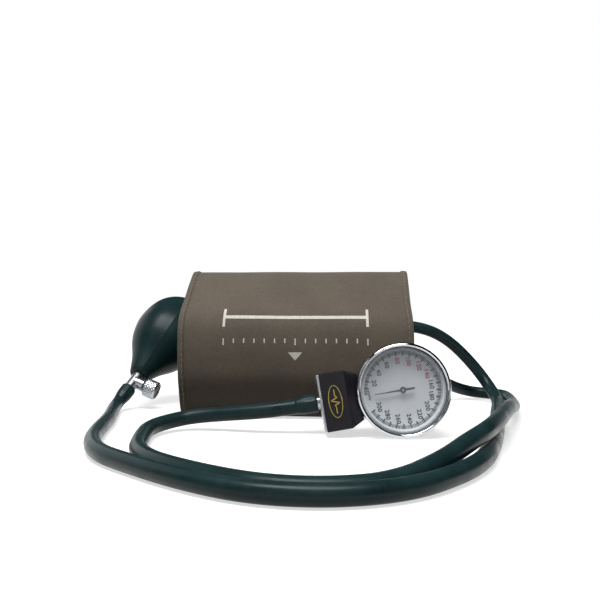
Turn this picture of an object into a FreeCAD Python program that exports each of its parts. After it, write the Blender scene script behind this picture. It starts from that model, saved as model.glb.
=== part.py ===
"""A hand-pumped blood pressure monitor: arm cuff, rubber bulb with release valve, dial gauge, two tubes.

The cuff is closed into a roll, as on an arm, with its axis along X; its front has sunk a little. The origin is
on the floor under the roll. The bulb leans at the roll's left end, and the gauge stands on its rim in front.
"""
import FreeCAD, Part
import math
import os
import Sketcher
from FreeCAD import Placement, Rotation, Vector

# Driving dimensions, in millimetres and degrees
SIZES = {
    # cuff: one strip of doubled cloth, wound on a horizontal core
    "cuff_width": 146.4,
    "core_radius": 43.8,
    "wrap_degrees": 610,
    "cloth_thickness": 1.0,
    "bladder_thickness": 2.4,
    "bladder_width": 120,
    "bladder_start": 10,
    "bladder_end": 305,
    "patch_thickness": 0.9,
    "patch_play": 0.1,
    "patch_width": 110,
    "patch_degrees": 78,
    "binding_width": 4,
    "binding_thickness": 0.5,
    "foot_depth": 0.5,
    # rubber tubes and the tunnels that they leave the cuff by
    "tube_diameter": 8.4,
    "tube_bore": 4.4,
    "bulb_tube_turn": 282,
    "gauge_tube_turn": 235,
    "tunnel_wall": 1.0,
    "tunnel_clearance": 0.2,
    "port_length": 12,
    "port_reach": 2,
    "sleeve_wall": 2.0,
    "sleeve_taper": 3,
    # bulb
    "bulb_radius": 25.4,
    "bulb_length": 82,
    "bulb_wall": 2.4,
    "neck_wall": 3.2,
    "tail_radius": 8.6,
    "bulb_neck_x": -114.2,
    "bulb_neck_y": 5,
    "bulb_neck_height": 22.2,
    "bulb_heading": 69.5,
    "bulb_rise": 36.6,
    "valve_spin": -62,
    # release valve, from the bulb's neck to the tube
    "spigot_radius": 3.6,
    "spigot_length": 13,
    "collar_radius": 4.0,
    "collar_length": 13,
    "barb_radius": 2.7,
    "barb_ridge": 0.35,
    "barb_length": 8,
    "valve_bore": 1.4,
    "boss_radius": 4.3,
    "boss_reach": 7.5,
    "boss_drop": 6,
    "needle_radius": 2.0,
    "spindle_radius": 1.45,
    "knob_radius": 6.35,
    "knob_length": 10,
    "knob_gap": 0.5,
    "seal_thickness": 1.2,
    "running_fit": 0.05,
    "press_gap": 0.02,
    # check valves
    "outlet_ball_radius": 2.0,
    "inlet_ball_radius": 2.5,
    "orifice_radius": 1.2,
    "ball_travel": 1.0,
    "ball_play": 0.08,
    "seat_thickness": 2.0,
    "inlet_plug_radius": 5.0,
    "inlet_flange": 1.4,
    # gauge: case, bezel, glass and dial
    "bezel_wall": 1.2,
    "bezel_depth": 7.5,
    "bezel_lip": 2.2,
    "lip_thickness": 1.2,
    "case_radius": 24.0,
    "case_wall": 1.4,
    "case_depth": 22.2,
    "crystal_thickness": 1.6,
    "case_rim": 1.1,
    "dial_thickness": 0.6,
    "pointer_room": 3.4,
    "dial_ledge": 1.4,
    "pointer_margin": 7.3,
    "pointer_tail": 6.3,
    "pointer_thickness": 0.4,
    "pointer_hub": 1.7,
    # gauge movement
    "gear_ratio": 8,
    "pinion_teeth": 12,
    "shaft_gap": 3.8,
    "gear_thickness": 1.2,
    "arbor_radius": 0.7,
    "plate_thickness": 1.0,
    "plate_play": 1.3,
    "leg_edge": 0.6,
    "bridge_gap": 3.4,
    "bridge_width": 8,
    "pillar_radius": 1.6,
    "pillar_edge": 2.0,
    "bridge_play": 0.8,
    "capsule_play": 2.9,
    "capsule_share": 0.434,
    "capsule_level": 0.4717,
    "scale_degrees": 334,
    # gauge neck, hose nipple and hanging clip
    "neck_width": 31,
    "neck_length": 19.5,
    "neck_front": 4.5,
    "neck_bite": 1.0,
    "neck_slope": 7,
    "neck_taper": 3,
    "end_plate_thickness": 1.2,
    "nipple_stem": 2.2,
    "nipple_flange": 3.6,
    "nipple_flange_length": 1.4,
    "badge_width": 9,
    "badge_length": 19,
    "badge_thickness": 0.5,
    "clip_width": 12,
    "clip_thickness": 1.0,
    "clip_gap": 3.6,
    "clip_length": 34,
    "rivet_pitch": 8,
    # where the gauge stands, and how it is turned
    "gauge_x": 62.2,
    "gauge_y": -101,
    "gauge_yaw": 4,
    "gauge_lean": 4.5,
    "gauge_roll": 9.5,
}
# Sizes that follow from those: the dial, movement and neck fit the case that carries them
FOLLOWING = {
    "bezel_radius": "case_radius + bezel_wall",
    "dial_radius": "case_radius - case_rim",
    "pointer_length": "dial_radius - pointer_margin",
    "plate_radius": "dial_radius - dial_ledge - plate_play",
    "pillar_reach": "plate_radius - pillar_edge",
    "pinion_radius": "(pillar_reach - shaft_gap) / (1 + gear_ratio)",
    "capsule_radius": "plate_radius - 2 * pillar_radius - leg_edge - capsule_play",
    "movement_depth": "pointer_room + dial_thickness + bridge_play + bridge_gap + 2 * plate_thickness",
    "capsule_room": "case_depth - case_wall - movement_depth",
    "capsule_thickness": "capsule_share * capsule_room",
    "nipple_depth": "lip_thickness + crystal_thickness + movement_depth + capsule_level * capsule_room",
    "neck_reach": "case_radius + neck_length",
    "neck_facet": "neck_length + neck_bite - neck_slope",
}

# Middle points of the two tubes on the floor, chosen by eye
BULB_TUBE_POINTS = [
    (96, 41, 53.8), (113, 47.5, 43.5), (130, 53.3, 26.3), (139, 46.5, 12.5), (141.6, 31, 4.3), (135.4, 2, 4.3),
    (127, -30, 4.3), (118.6, -66, 4.3), (109.6, -102, 4.3), (99.5, -137, 4.3), (89, -168, 4.3),
    (74, -193, 4.3), (53, -216, 4.3), (26, -226, 4.3), (-2, -223.5, 4.3), (-28, -209, 4.3),
    (-56, -186, 4.3), (-80, -163, 4.3), (-93, -137, 4.3), (-101, -106, 4.3), (-107.5, -73, 4.3),
    (-115.4, -43.5, 4.3), (-119.8, -29, 4.3), (-121.9, -20.3, 4.3),
]
GAUGE_TUBE_POINTS = [
    (97, 41, 20), (113, 57, 11), (128, 69.5, 5.6), (139, 69.6, 4.4), (148.3, 63.2, 4.3), (152.6, 52.5, 4.3),
    (151, 35, 4.3), (147, 10, 4.3), (140.5, -18, 6.5), (131.5, -48, 11), (119.5, -84, 14), (106, -122, 14),
    (94, -150, 13.6), (82, -168, 11.5), (69, -183, 7), (48, -208, 4.4), (25, -216.8, 4.3), (1, -214.5, 4.3),
    (-23, -201, 4.3), (-50, -178.5, 4.3), (-64, -157, 4.3), (-70, -132, 4.3), (-75, -104, 4.6),
    (-68.5, -87.5, 5.7), (-54, -77.8, 7.8),
]

doc = FreeCAD.newDocument("blood_pressure_monitor")
sheet = doc.addObject("Spreadsheet::Sheet", "dim")
CELLS = {**SIZES, **{alias: "=" + formula for alias, formula in FOLLOWING.items()}}
for row, (alias, content) in enumerate(CELLS.items(), start=1):
    sheet.set("A%d" % row, alias)
    sheet.set("B%d" % row, str(content))
    sheet.setAlias("B%d" % row, alias)
doc.recompute()

PARTS = []


def value(formula):
    """The number that a formula of sheet cells gives."""
    return float(sheet.evalExpression(formula))


def size(alias):
    """The number in one cell of the sheet."""
    return value("dim." + alias)


def keep(part, label, place=None):
    """Name a finished sub-part, put it in its place and list it for writing."""
    part.Label = label
    if place is not None:
        part.Placement = place
    PARTS.append(part)
    return part


def shaped(label, shape, place=None):
    """A sub-part whose shape is worked out here."""
    part = doc.addObject("Part::Feature", label)
    part.Shape = shape
    return keep(part, label, place)


def outline_sketch(body, plane_role, corners):
    """A closed outline of straight lines, each corner's two distances bound to a formula."""
    sketch = body.newObject("Sketcher::SketchObject", body.Name + "_outline")
    plane = [feature for feature in body.Origin.OriginFeatures if feature.Role == plane_role][0]
    sketch.AttachmentSupport = [(plane, "")]
    sketch.MapMode = "FlatFace"
    points = [Vector(value(across), value(along), 0) for across, along in corners]
    count = len(points)
    for index in range(count):
        sketch.addGeometry(Part.LineSegment(points[index], points[(index + 1) % count]), False)
    for index in range(count):
        sketch.addConstraint(Sketcher.Constraint("Coincident", index, 2, (index + 1) % count, 1))
    for index, (across, along) in enumerate(corners):
        for kind, formula in (("DistanceX", across), ("DistanceY", along)):
            number = sketch.addConstraint(Sketcher.Constraint(kind, -1, 1, index, 1, value(formula)))
            sketch.setExpression("Constraints[%d]" % number, formula)
    return sketch


def turned_body(name, corners):
    """A body turned about its own Z axis; corners are (radius, height) formulas."""
    body = doc.addObject("PartDesign::Body", name)
    sketch = outline_sketch(body, "XZ_Plane", corners)
    doc.recompute()
    turn = body.newObject("PartDesign::Revolution", name + "_turn")
    turn.Profile = sketch
    turn.ReferenceAxis = (sketch, ["V_Axis"])
    turn.Angle = 360
    doc.recompute()
    return body


def padded_body(name, plane_role, corners, length, start=None):
    """A straight pad; with no start formula it is centred on its plane."""
    body = doc.addObject("PartDesign::Body", name)
    sketch = outline_sketch(body, plane_role, corners)
    if start is not None:
        sketch.setExpression("AttachmentOffset.Base.z", start)
    doc.recompute()
    pad = body.newObject("PartDesign::Pad", name + "_pad")
    pad.Profile = sketch
    pad.setExpression("Length", length)
    pad.Midplane = start is None
    doc.recompute()
    return body


def rod(name, radius, length, base=("0", "0", "0"), axis="Z"):
    """A bound cylinder that starts at a bound point and runs along one axis."""
    cylinder = doc.addObject("Part::Cylinder", name)
    cylinder.setExpression("Radius", radius)
    cylinder.setExpression("Height", length)
    if axis == "X":
        cylinder.Placement.Rotation = Rotation(Vector(0, 1, 0), 90)
    if axis == "Y":
        cylinder.Placement.Rotation = Rotation(Vector(1, 0, 0), -90)
    for letter, formula in zip("xyz", base):
        cylinder.setExpression("Placement.Base." + letter, formula)
    return cylinder


def joined(name, pieces):
    """Several solids made one."""
    fuse = doc.addObject("Part::MultiFuse", name)
    fuse.Shapes = pieces
    fuse.Refine = True
    return fuse


def without(name, base, tools):
    """A solid with other solids taken out of it."""
    tool = tools[0] if len(tools) == 1 else joined(name + "_tools", tools)
    cut = doc.addObject("Part::Cut", name)
    cut.Base = base
    cut.Tool = tool
    return cut


# The cuff's wrap in its end view: half turns of tangent arcs. The centre shifts at each half turn, so that
# each layer is an exact offset of the next. A normal's angle is 90 up, 0 to the front and -90 down.

PITCH = value("2 * dim.cloth_thickness + 2 * dim.patch_thickness + dim.patch_play")
SWING = Vector(0, 0, PITCH / 2)
LOWEST_RADIUS = size("core_radius") + 1.5 * PITCH
CORE = Vector(0, 0, LOWEST_RADIUS - SWING.z - size("foot_depth"))
HALF_WIDTH = size("cuff_width") / 2
SKIN = size("cloth_thickness")
POCKET = SKIN + size("bladder_thickness")

# The front has sunk under its own weight: brow, slope, shoulder, face, knee, shin, toe and sole. Each has its
# last normal's angle and its radius as a share of the core's; the slope and the sole close the outline.
FRONT_ARCS = [
    (53, 0.205), (49, None), (10, 0.457), (6, 7.5), (-18, 0.55), (-24, 3.0), (-88, 0.185), (-90, None),
]
BACK_ARCS = [(-270, 1.0)]


def facing(angle):
    """The direction of a normal in the end view."""
    turn = math.radians(angle)
    return Vector(0, -math.cos(turn), math.sin(turn))


def half_turn(first_angle, arcs):
    """The arcs of a half turn as (last share of its length, first angle, last angle, radius, centre)."""
    core = size("core_radius")
    starts = [first_angle] + [last for last, share in arcs]
    chords = [facing(last) - facing(first) for first, (last, share) in zip(starts, arcs)]
    left = (facing(arcs[-1][0]) - facing(first_angle)) * core
    for chord, (last, share) in zip(chords, arcs):
        if share:
            left = left - chord * (share * core)
    free = [chord for chord, (last, share) in zip(chords, arcs) if share is None]
    lengths = []
    if free:
        width = free[0].cross(free[1]).x
        lengths = [left.cross(free[1]).x / width, free[0].cross(left).x / width]
    radii = [share * core if share else lengths.pop(0) for last, share in arcs]
    runs = [radius * (first - last) for radius, first, (last, share) in zip(radii, starts, arcs)]
    end = facing(first_angle) * core
    pieces = []
    for index, radius in enumerate(radii):
        centre = end - facing(starts[index]) * radius
        pieces.append((sum(runs[:index + 1]) / sum(runs), starts[index], starts[index + 1], radius, centre))
        end = centre + facing(starts[index + 1]) * radius
    return pieces


HALVES = [half_turn(90, FRONT_ARCS), half_turn(-90, BACK_ARCS)]


def wrap_point(degrees, offset, x=0.0):
    """A point of the wrap: half a turn is 180 degrees, offset is the distance out of the outer cloth face."""
    half = min(int(degrees // 180), int((size("wrap_degrees") - 1e-6) // 180))
    share = degrees / 180 - half
    before = 0.0
    for after, first, last, radius, centre in HALVES[half % 2]:
        if share <= after:
            break
        before = after
    angle = first + (share - before) / (after - before) * (last - first)
    reach = radius + half * PITCH / 2 + offset
    return CORE + SWING * (half % 2) + centre + Vector(x, 0, 0) + facing(angle) * reach


def wrap_edges(start, end, offset):
    """Arcs along the wrap from one place to another."""
    stops = [180 * (half + piece[0]) for half in range(20) for piece in HALVES[half % 2]]
    stops = [start] + [stop for stop in stops if start + 1e-6 < stop < end - 1e-6] + [end]
    edges = []
    for first, last in zip(stops, stops[1:]):
        nearly = last - 1e-9
        ends = [wrap_point(first, offset), wrap_point((first + last) / 2, offset), wrap_point(nearly, offset)]
        edges.append(Part.Arc(*ends).toShape())
    return edges


def wrap_band(steps, x_low, x_high):
    """A strip that follows the wrap; steps are (start, end, lower offset, upper offset) in order."""
    rims = []
    for start, end, low, high in steps:
        upper = wrap_edges(start, end, high)
        lower = wrap_edges(start, end, low)
        sides = [
            Part.makeLine(wrap_point(start, low), wrap_point(start, high)),
            Part.makeLine(wrap_point(end - 1e-9, low), wrap_point(end - 1e-9, high)),
        ]
        rims.append(Part.Face(Part.Wire(Part.__sortEdges__(upper + lower + sides))))
    solids = []
    for rim in rims:
        rim.translate(Vector(x_low, 0, 0))
        solids.append(rim.extrude(Vector(x_high - x_low, 0, 0)))
    band = solids[0]
    for solid in solids[1:]:
        band = band.fuse(solid)
    return band.removeSplitter()


def tube_centre(turn_alias):
    """The height and depth where a tube leaves the cuff, just inside the outer cloth."""
    depth = SKIN + size("tunnel_clearance") / 2 + TUNNEL_RADIUS
    return wrap_point(size(turn_alias), -depth)


TUBE_RADIUS = size("tube_diameter") / 2
TUNNEL_RADIUS = TUBE_RADIUS + size("tunnel_clearance")
PORT_END = size("bladder_width") / 2 + size("port_reach")
TUNNEL_START = PORT_END - size("port_length")
BULB_TUBE_EXIT = tube_centre("bulb_tube_turn")
GAUGE_TUBE_EXIT = tube_centre("gauge_tube_turn")
EXITS = (BULB_TUBE_EXIT, GAUGE_TUBE_EXIT)
WRAP_END = size("wrap_degrees")
SEAM = size("bladder_end") + 5
SEAM_WIDTH = 2.0


def along_x(centre, radius, x_low, x_high):
    """A round bar along X."""
    return Part.makeCylinder(radius, x_high - x_low, Vector(x_low, centre.y, centre.z), Vector(1, 0, 0))


def below_floor():
    """The space under the floor, which cuts the roll's foot flat."""
    reach = 2 * LOWEST_RADIUS
    return Part.makeBox(4 * HALF_WIDTH, 2 * reach, reach, Vector(-2 * HALF_WIDTH, -reach, -reach))


def build_cuff():
    """Outer cloth, lining with its tube tunnels, bladder, hook and loop patches and edge bindings."""
    tape = size("binding_thickness")
    edge = HALF_WIDTH - tape
    outer = wrap_band([(0, WRAP_END, -SKIN, 0)], -edge, edge)
    shaped("cuff_outer_cloth", outer.cut(below_floor()))

    deep = -POCKET - SKIN
    lining_steps = [
        (0, SEAM, deep, -POCKET),
        (SEAM, SEAM + SEAM_WIDTH, deep, -SKIN),
        (SEAM + SEAM_WIDTH, WRAP_END, -2 * SKIN, -SKIN),
    ]
    lining = wrap_band(lining_steps, -edge, edge)
    pocket_space = wrap_band([(0, SEAM, -POCKET, SKIN)], -2 * HALF_WIDTH, 2 * HALF_WIDTH)
    for centre in EXITS:
        shell = along_x(centre, TUNNEL_RADIUS + size("tunnel_wall"), TUNNEL_START - size("tunnel_wall"), edge)
        lining = lining.fuse(shell.cut(pocket_space))
    for centre in EXITS:
        lining = lining.cut(along_x(centre, TUNNEL_RADIUS, TUNNEL_START, 2 * HALF_WIDTH))
    shaped("cuff_lining", lining.removeSplitter())

    half_bladder = size("bladder_width") / 2
    span = (size("bladder_start"), size("bladder_end"), -POCKET, -SKIN)
    bladder = wrap_band([span], -half_bladder, half_bladder)
    for centre in EXITS:
        bladder = bladder.fuse(along_x(centre, TUBE_RADIUS, TUNNEL_START, PORT_END))
    for centre in EXITS:
        bladder = bladder.cut(along_x(centre, size("tube_bore") / 2, TUNNEL_START + 2, PORT_END))
    shaped("bladder", bladder.removeSplitter())

    half_patch = size("patch_width") / 2
    thick = size("patch_thickness")
    hook_start = WRAP_END - size("patch_degrees")
    hook = wrap_band([(hook_start, WRAP_END, -2 * SKIN - thick, -2 * SKIN)], -half_patch, half_patch)
    shaped("hook_patch", hook)
    loop = wrap_band([(hook_start - 360, WRAP_END - 360, 0, thick)], -half_patch, half_patch)
    shaped("loop_patch", loop)

    for label, side in (("left_edge_binding", -1), ("right_edge_binding", 1)):
        inner_x = side * (HALF_WIDTH - size("binding_width"))
        ends = sorted((inner_x, side * HALF_WIDTH))
        room = sorted((inner_x, side * edge))
        seam_end = SEAM + SEAM_WIDTH
        over = [(0, seam_end, deep - tape, tape), (seam_end, WRAP_END, -2 * SKIN - tape, tape)]
        under = [(0, seam_end, deep, 0), (seam_end, WRAP_END, -2 * SKIN, 0)]
        binding = wrap_band(over, *ends).cut(wrap_band(under, *room))
        if side > 0:
            for centre in EXITS:
                hole = TUNNEL_RADIUS + size("tunnel_wall") + size("press_gap")
                binding = binding.cut(along_x(centre, hole, 0, 2 * HALF_WIDTH))
        binding = binding.cut(below_floor())
        shaped(label, binding.removeSplitter())


# The bulb's frame: Z runs from the neck to the tail, X points out along the thumb screw

BULB_PLACE = Placement(
    Vector(size("bulb_neck_x"), size("bulb_neck_y"), size("bulb_neck_height")),
    Rotation(Vector(0, 0, 1), size("bulb_heading"))
    * Rotation(Vector(0, 1, 0), 90 - size("bulb_rise"))
    * Rotation(Vector(0, 0, 1), size("valve_spin")),
)

# The bulb's swell: how far along it, as a share of its length, and how wide, as a share of its radius
BULB_SWELL = [
    (0.165, 0.51), (0.30, 0.77), (0.40, 0.91), (0.52, 0.995), (0.655, 0.985), (0.775, 0.90), (0.88, 0.70),
]


def smooth_edge(points):
    """One smooth curve through (radius, height) points."""
    curve = Part.BSplineCurve()
    curve.interpolate([Vector(radius, 0, height) for radius, height in points])
    return curve.toShape()


def build_bulb():
    """A hollow rubber bulb, open at its neck and at its tail."""
    length = size("bulb_length")
    wall = size("bulb_wall")
    neck_bore = size("spigot_radius") + size("press_gap")
    neck = neck_bore + size("neck_wall")
    tail_bore = size("inlet_plug_radius") + size("press_gap")
    swell = [(share * size("bulb_radius"), along * length) for along, share in BULB_SWELL]
    outside = smooth_edge([(neck, 0)] + swell + [(size("tail_radius"), length)])
    hollow = [(radius - wall, height) for radius, height in swell]
    neck_depth = 0.09 * length
    tail_depth = 0.06 * length
    inside = smooth_edge([(neck_bore, neck_depth)] + hollow + [(tail_bore, length - tail_depth)])
    lines = [
        Part.makeLine(Vector(neck_bore, 0, 0), Vector(neck, 0, 0)),
        Part.makeLine(Vector(size("tail_radius"), 0, length), Vector(tail_bore, 0, length)),
        Part.makeLine(Vector(tail_bore, 0, length), Vector(tail_bore, 0, length - tail_depth)),
        Part.makeLine(Vector(neck_bore, 0, neck_depth), Vector(neck_bore, 0, 0)),
    ]
    face = Part.Face(Part.Wire(Part.__sortEdges__([outside, inside] + lines)))
    shaped("bulb", face.revolve(Vector(0, 0, 0), Vector(0, 0, 1), 360), BULB_PLACE)


def build_inlet_valve():
    """The plug in the bulb's tail, with its ball and the ring that keeps the ball in."""
    plug = "dim.inlet_plug_radius"
    top = "dim.bulb_length + dim.inlet_flange"
    seat = "dim.bulb_length - dim.seat_thickness"
    chamber = "dim.inlet_ball_radius + dim.ball_play"
    rise = "sqrt(dim.inlet_ball_radius ^ 2 - dim.orifice_radius ^ 2)"
    centre = "(%s - %s - dim.ball_travel - dim.running_fit)" % (seat, rise)
    cage_top = "(%s - %s - dim.running_fit)" % (centre, rise)
    bottom = "(%s - dim.seat_thickness)" % cage_top
    housing = turned_body("inlet_housing", [
        (chamber, bottom), (plug, bottom), (plug, "dim.bulb_length"),
        ("dim.tail_radius - 0.6", "dim.bulb_length"),
        ("dim.tail_radius - 0.6", top), ("dim.orifice_radius", top), ("dim.orifice_radius", seat),
        (chamber, seat),
    ])
    keep(housing, "inlet_housing", BULB_PLACE)
    cage = turned_body("inlet_cage_ring", [
        ("dim.orifice_radius", bottom), (chamber + " - dim.press_gap", bottom),
        (chamber + " - dim.press_gap", cage_top), ("dim.orifice_radius", cage_top),
    ])
    keep(cage, "inlet_cage_ring", BULB_PLACE)
    ball = doc.addObject("Part::Sphere", "inlet_ball")
    ball.setExpression("Radius", "dim.inlet_ball_radius")
    keep(ball, "inlet_ball", BULB_PLACE * Placement(Vector(0, 0, value(centre)), Rotation()))


OUTLET_FLOOR = "3"
OUTLET_RISE = "sqrt(dim.outlet_ball_radius ^ 2 - dim.orifice_radius ^ 2)"
OUTLET_LEDGE_RISE = "sqrt(dim.outlet_ball_radius ^ 2 - dim.valve_bore ^ 2)"
OUTLET_CENTRE = "(%s + %s + dim.running_fit)" % (OUTLET_FLOOR, OUTLET_LEDGE_RISE)
OUTLET_SEAT = "(%s + dim.ball_travel + %s + dim.running_fit)" % (OUTLET_CENTRE, OUTLET_RISE)
OUTLET_CHAMBER = "(dim.outlet_ball_radius + dim.ball_play)"
BARB_END = "(-dim.collar_length - dim.barb_length)"


def build_release_valve():
    """Valve body between bulb and tube, its outlet ball and seat, needle, seal ring and thumb knob."""
    ridge = "dim.barb_radius + dim.barb_ridge"
    step = "dim.barb_length / 3"
    corners = [
        ("dim.valve_bore", BARB_END), ("dim.barb_radius", BARB_END),
        (ridge, BARB_END + " + " + step), ("dim.barb_radius", BARB_END + " + " + step),
        (ridge, BARB_END + " + 2 * " + step), ("dim.barb_radius", BARB_END + " + 2 * " + step),
        ("dim.barb_radius", "-dim.collar_length"), ("dim.collar_radius", "-dim.collar_length"),
        ("dim.collar_radius", "0"), ("dim.spigot_radius", "0"), ("dim.spigot_radius", "dim.spigot_length"),
        (OUTLET_CHAMBER, "dim.spigot_length"), (OUTLET_CHAMBER, OUTLET_FLOOR), ("dim.valve_bore", OUTLET_FLOOR),
    ]
    stem = turned_body("valve_stem", corners)
    drop = "-dim.boss_drop"
    boss = rod("valve_boss", "dim.boss_radius", "dim.boss_reach", ("0", "0", drop), "X")
    passage = rod("valve_passage", "dim.valve_bore", "dim.collar_length", ("0", "0", "-dim.collar_length"))
    guide = "dim.needle_radius + dim.running_fit"
    needle_way = rod("needle_way", guide, "dim.boss_reach", ("dim.valve_bore", "0", drop), "X")
    groove_radius = guide + " + dim.seal_thickness + dim.press_gap"
    groove_at = "dim.boss_reach - 2 * dim.seal_thickness - dim.press_gap"
    groove_length = "dim.seal_thickness + 2 * dim.press_gap"
    groove = rod("seal_groove", groove_radius, groove_length, (groove_at, "0", drop), "X")
    solid = joined("valve_solid", [stem, boss])
    keep(without("valve_body", solid, [passage, needle_way, groove]), "valve_body", BULB_PLACE)

    screw_place = BULB_PLACE * Placement(Vector(0, 0, -size("boss_drop")), Rotation(Vector(0, 1, 0), 90))
    seal = doc.addObject("Part::Torus", "seal_ring")
    seal.setExpression("Radius1", guide + " + dim.seal_thickness / 2")
    seal.setExpression("Radius2", "dim.seal_thickness / 2")
    seal_at = value(groove_at + " + dim.seal_thickness / 2 + dim.press_gap")
    keep(seal, "seal_ring", screw_place * Placement(Vector(0, 0, seal_at), Rotation()))

    knob_start = "dim.boss_reach + dim.knob_gap"
    knob_end = knob_start + " + dim.knob_length"
    needle = turned_body("release_needle", [
        ("0", "dim.valve_bore + 0.1"), ("dim.needle_radius", "dim.valve_bore + dim.needle_radius"),
        ("dim.needle_radius", knob_start + " - dim.running_fit"),
        ("dim.spindle_radius", knob_start + " - dim.running_fit"),
        ("dim.spindle_radius", knob_end + " - 1.5"), ("0", knob_end + " - 1.5"),
    ])
    keep(needle, "release_needle", screw_place)

    socket = "dim.spindle_radius + dim.running_fit"
    blank = turned_body("knob_blank", [
        (socket, knob_start), ("dim.knob_radius - 2", knob_start), ("dim.knob_radius", knob_start + " + 1.6"),
        ("dim.knob_radius", knob_end + " - 0.8"), ("dim.knob_radius - 0.8", knob_end), ("0", knob_end),
        ("0", knob_end + " - 1.4"), (socket, knob_end + " - 1.4"),
    ])
    doc.recompute()
    grooves = []
    count = 24
    for index in range(count):
        angle = 2 * math.pi * index / count
        centre = Vector(math.cos(angle), math.sin(angle), 0) * (size("knob_radius") + 0.25)
        foot = centre + Vector(0, 0, value(knob_start) - size("knob_length") / 2)
        grooves.append(Part.makeCylinder(0.6, 2 * size("knob_length"), foot))
    knurl = doc.addObject("Part::Feature", "knob_knurl")
    knurl.Shape = Part.makeCompound(grooves)
    keep(without("thumb_knob", blank, [knurl]), "thumb_knob", screw_place)

    ball = doc.addObject("Part::Sphere", "outlet_ball")
    ball.setExpression("Radius", "dim.outlet_ball_radius")
    keep(ball, "outlet_ball", BULB_PLACE * Placement(Vector(0, 0, value(OUTLET_CENTRE)), Rotation()))
    seat = turned_body("outlet_seat", [
        ("dim.orifice_radius", OUTLET_SEAT), (OUTLET_CHAMBER + " - dim.press_gap", OUTLET_SEAT),
        (OUTLET_CHAMBER + " - dim.press_gap", "dim.spigot_length"), ("dim.orifice_radius", "dim.spigot_length"),
    ])
    keep(seat, "outlet_seat", BULB_PLACE)
    return screw_place


# The gauge's frame: Z out of the dial, Y towards the top of the dial, X to its right

GAUGE_LEAN = math.radians(size("gauge_lean"))
CASE_EDGE = 2.0


def rim_height(radius, depth):
    """How high the dial's centre is when a rim of this radius, this far behind it, is on the floor."""
    return radius * math.cos(GAUGE_LEAN) + depth * math.sin(GAUGE_LEAN)


BACK_RIM_DEPTH = value("dim.lip_thickness + dim.crystal_thickness + dim.case_depth") - CASE_EDGE
GAUGE_HEIGHT = max(rim_height(size("bezel_radius"), size("bezel_depth")),
                   rim_height(size("case_radius"), BACK_RIM_DEPTH))
GAUGE_PLACE = Placement(
    Vector(size("gauge_x"), size("gauge_y"), GAUGE_HEIGHT),
    Rotation(Vector(0, 0, 1), size("gauge_yaw"))
    * Rotation(Vector(1, 0, 0), 90 - size("gauge_lean"))
    * Rotation(Vector(0, 0, 1), size("gauge_roll") - 90),
)
RIM = "(-dim.lip_thickness - dim.crystal_thickness)"
DIAL_TOP = "(%s - dim.pointer_room)" % RIM
LEDGE = "(%s - dim.dial_thickness)" % DIAL_TOP
BACK = "(%s - dim.case_depth)" % RIM
FLOOR = "(%s + dim.case_wall)" % BACK
BRIDGE_TOP = "(%s - dim.bridge_play)" % LEDGE
BRIDGE_LOW = "(%s - dim.plate_thickness)" % BRIDGE_TOP
PLATE_TOP = "(%s - dim.bridge_gap)" % BRIDGE_LOW
PLATE_LOW = "(%s - dim.plate_thickness)" % PLATE_TOP
GEAR_LOW = "(%s + 1.1)" % PLATE_TOP
POINTER_LOW = "(%s + 1.4)" % DIAL_TOP
SHAFTS_APART = "(dim.pinion_radius * (1 + dim.gear_ratio))"


def build_gauge_case():
    """Case, bezel ring, glass and dial."""
    seat = "dim.dial_radius + dim.running_fit"
    inner = "dim.dial_radius - dim.dial_ledge"
    case = turned_body("case_cup", [
        ("0", BACK), ("dim.case_radius - %s" % CASE_EDGE, BACK),
        ("dim.case_radius", BACK + " + %s" % CASE_EDGE), ("dim.case_radius", RIM),
        (seat, RIM), (seat, LEDGE), (inner, LEDGE), (inner, FLOOR), ("0", FLOOR),
    ])
    inlet = rod("case_inlet", "dim.nipple_stem + dim.press_gap", "dim.case_radius",
                ("0", "-1.5 * dim.case_radius", "-dim.nipple_depth"), "Y")
    keep(without("gauge_case", case, [inlet]), "gauge_case", GAUGE_PLACE)

    skirt = "dim.case_radius + dim.running_fit"
    opening = "dim.bezel_radius - dim.bezel_lip"
    bezel = turned_body("bezel_ring", [
        (skirt, "-dim.bezel_depth"), ("dim.bezel_radius", "-dim.bezel_depth"), ("dim.bezel_radius", "-0.9"),
        ("dim.bezel_radius - 0.3", "-0.3"), ("dim.bezel_radius - 0.9", "0"), (opening + " + 0.6", "0"),
        (opening, "-0.6"), (opening, "-dim.lip_thickness"), (skirt, "-dim.lip_thickness"),
    ])
    keep(bezel, "bezel_ring", GAUGE_PLACE)
    glass = turned_body("crystal", [
        ("0", RIM), ("dim.case_radius", RIM), ("dim.case_radius", "-dim.lip_thickness"),
        ("0", "-dim.lip_thickness"),
    ])
    keep(glass, "crystal", GAUGE_PLACE)
    hole = "dim.arbor_radius + 0.5"
    dial = turned_body("dial_plate", [
        (hole, LEDGE), ("dim.dial_radius", LEDGE), ("dim.dial_radius", DIAL_TOP), (hole, DIAL_TOP),
    ])
    keep(dial, "dial_plate", GAUGE_PLACE)


def gear_ring(teeth_angles, pitch_radius, tooth_pitch):
    """Corners of straight-sided teeth at the given angles, in order round the wheel."""
    add = 0.30 * tooth_pitch
    root = pitch_radius - 0.42 * tooth_pitch
    base = 0.27 * tooth_pitch / pitch_radius
    tip = 0.10 * tooth_pitch / pitch_radius
    crest = pitch_radius + add
    corners = []
    for angle in teeth_angles:
        for shift, radius in ((-base, root), (-tip, crest), (tip, crest), (base, root)):
            corners.append(Vector(radius * math.cos(angle + shift), radius * math.sin(angle + shift), 0))
    return corners


def flat_solid(corners, low, thickness):
    """A flat plate with the given corners."""
    loop = Part.makePolygon(corners + corners[:1])
    plate = Part.Face(loop).extrude(Vector(0, 0, thickness))
    plate.translate(Vector(0, 0, low))
    return plate


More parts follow.
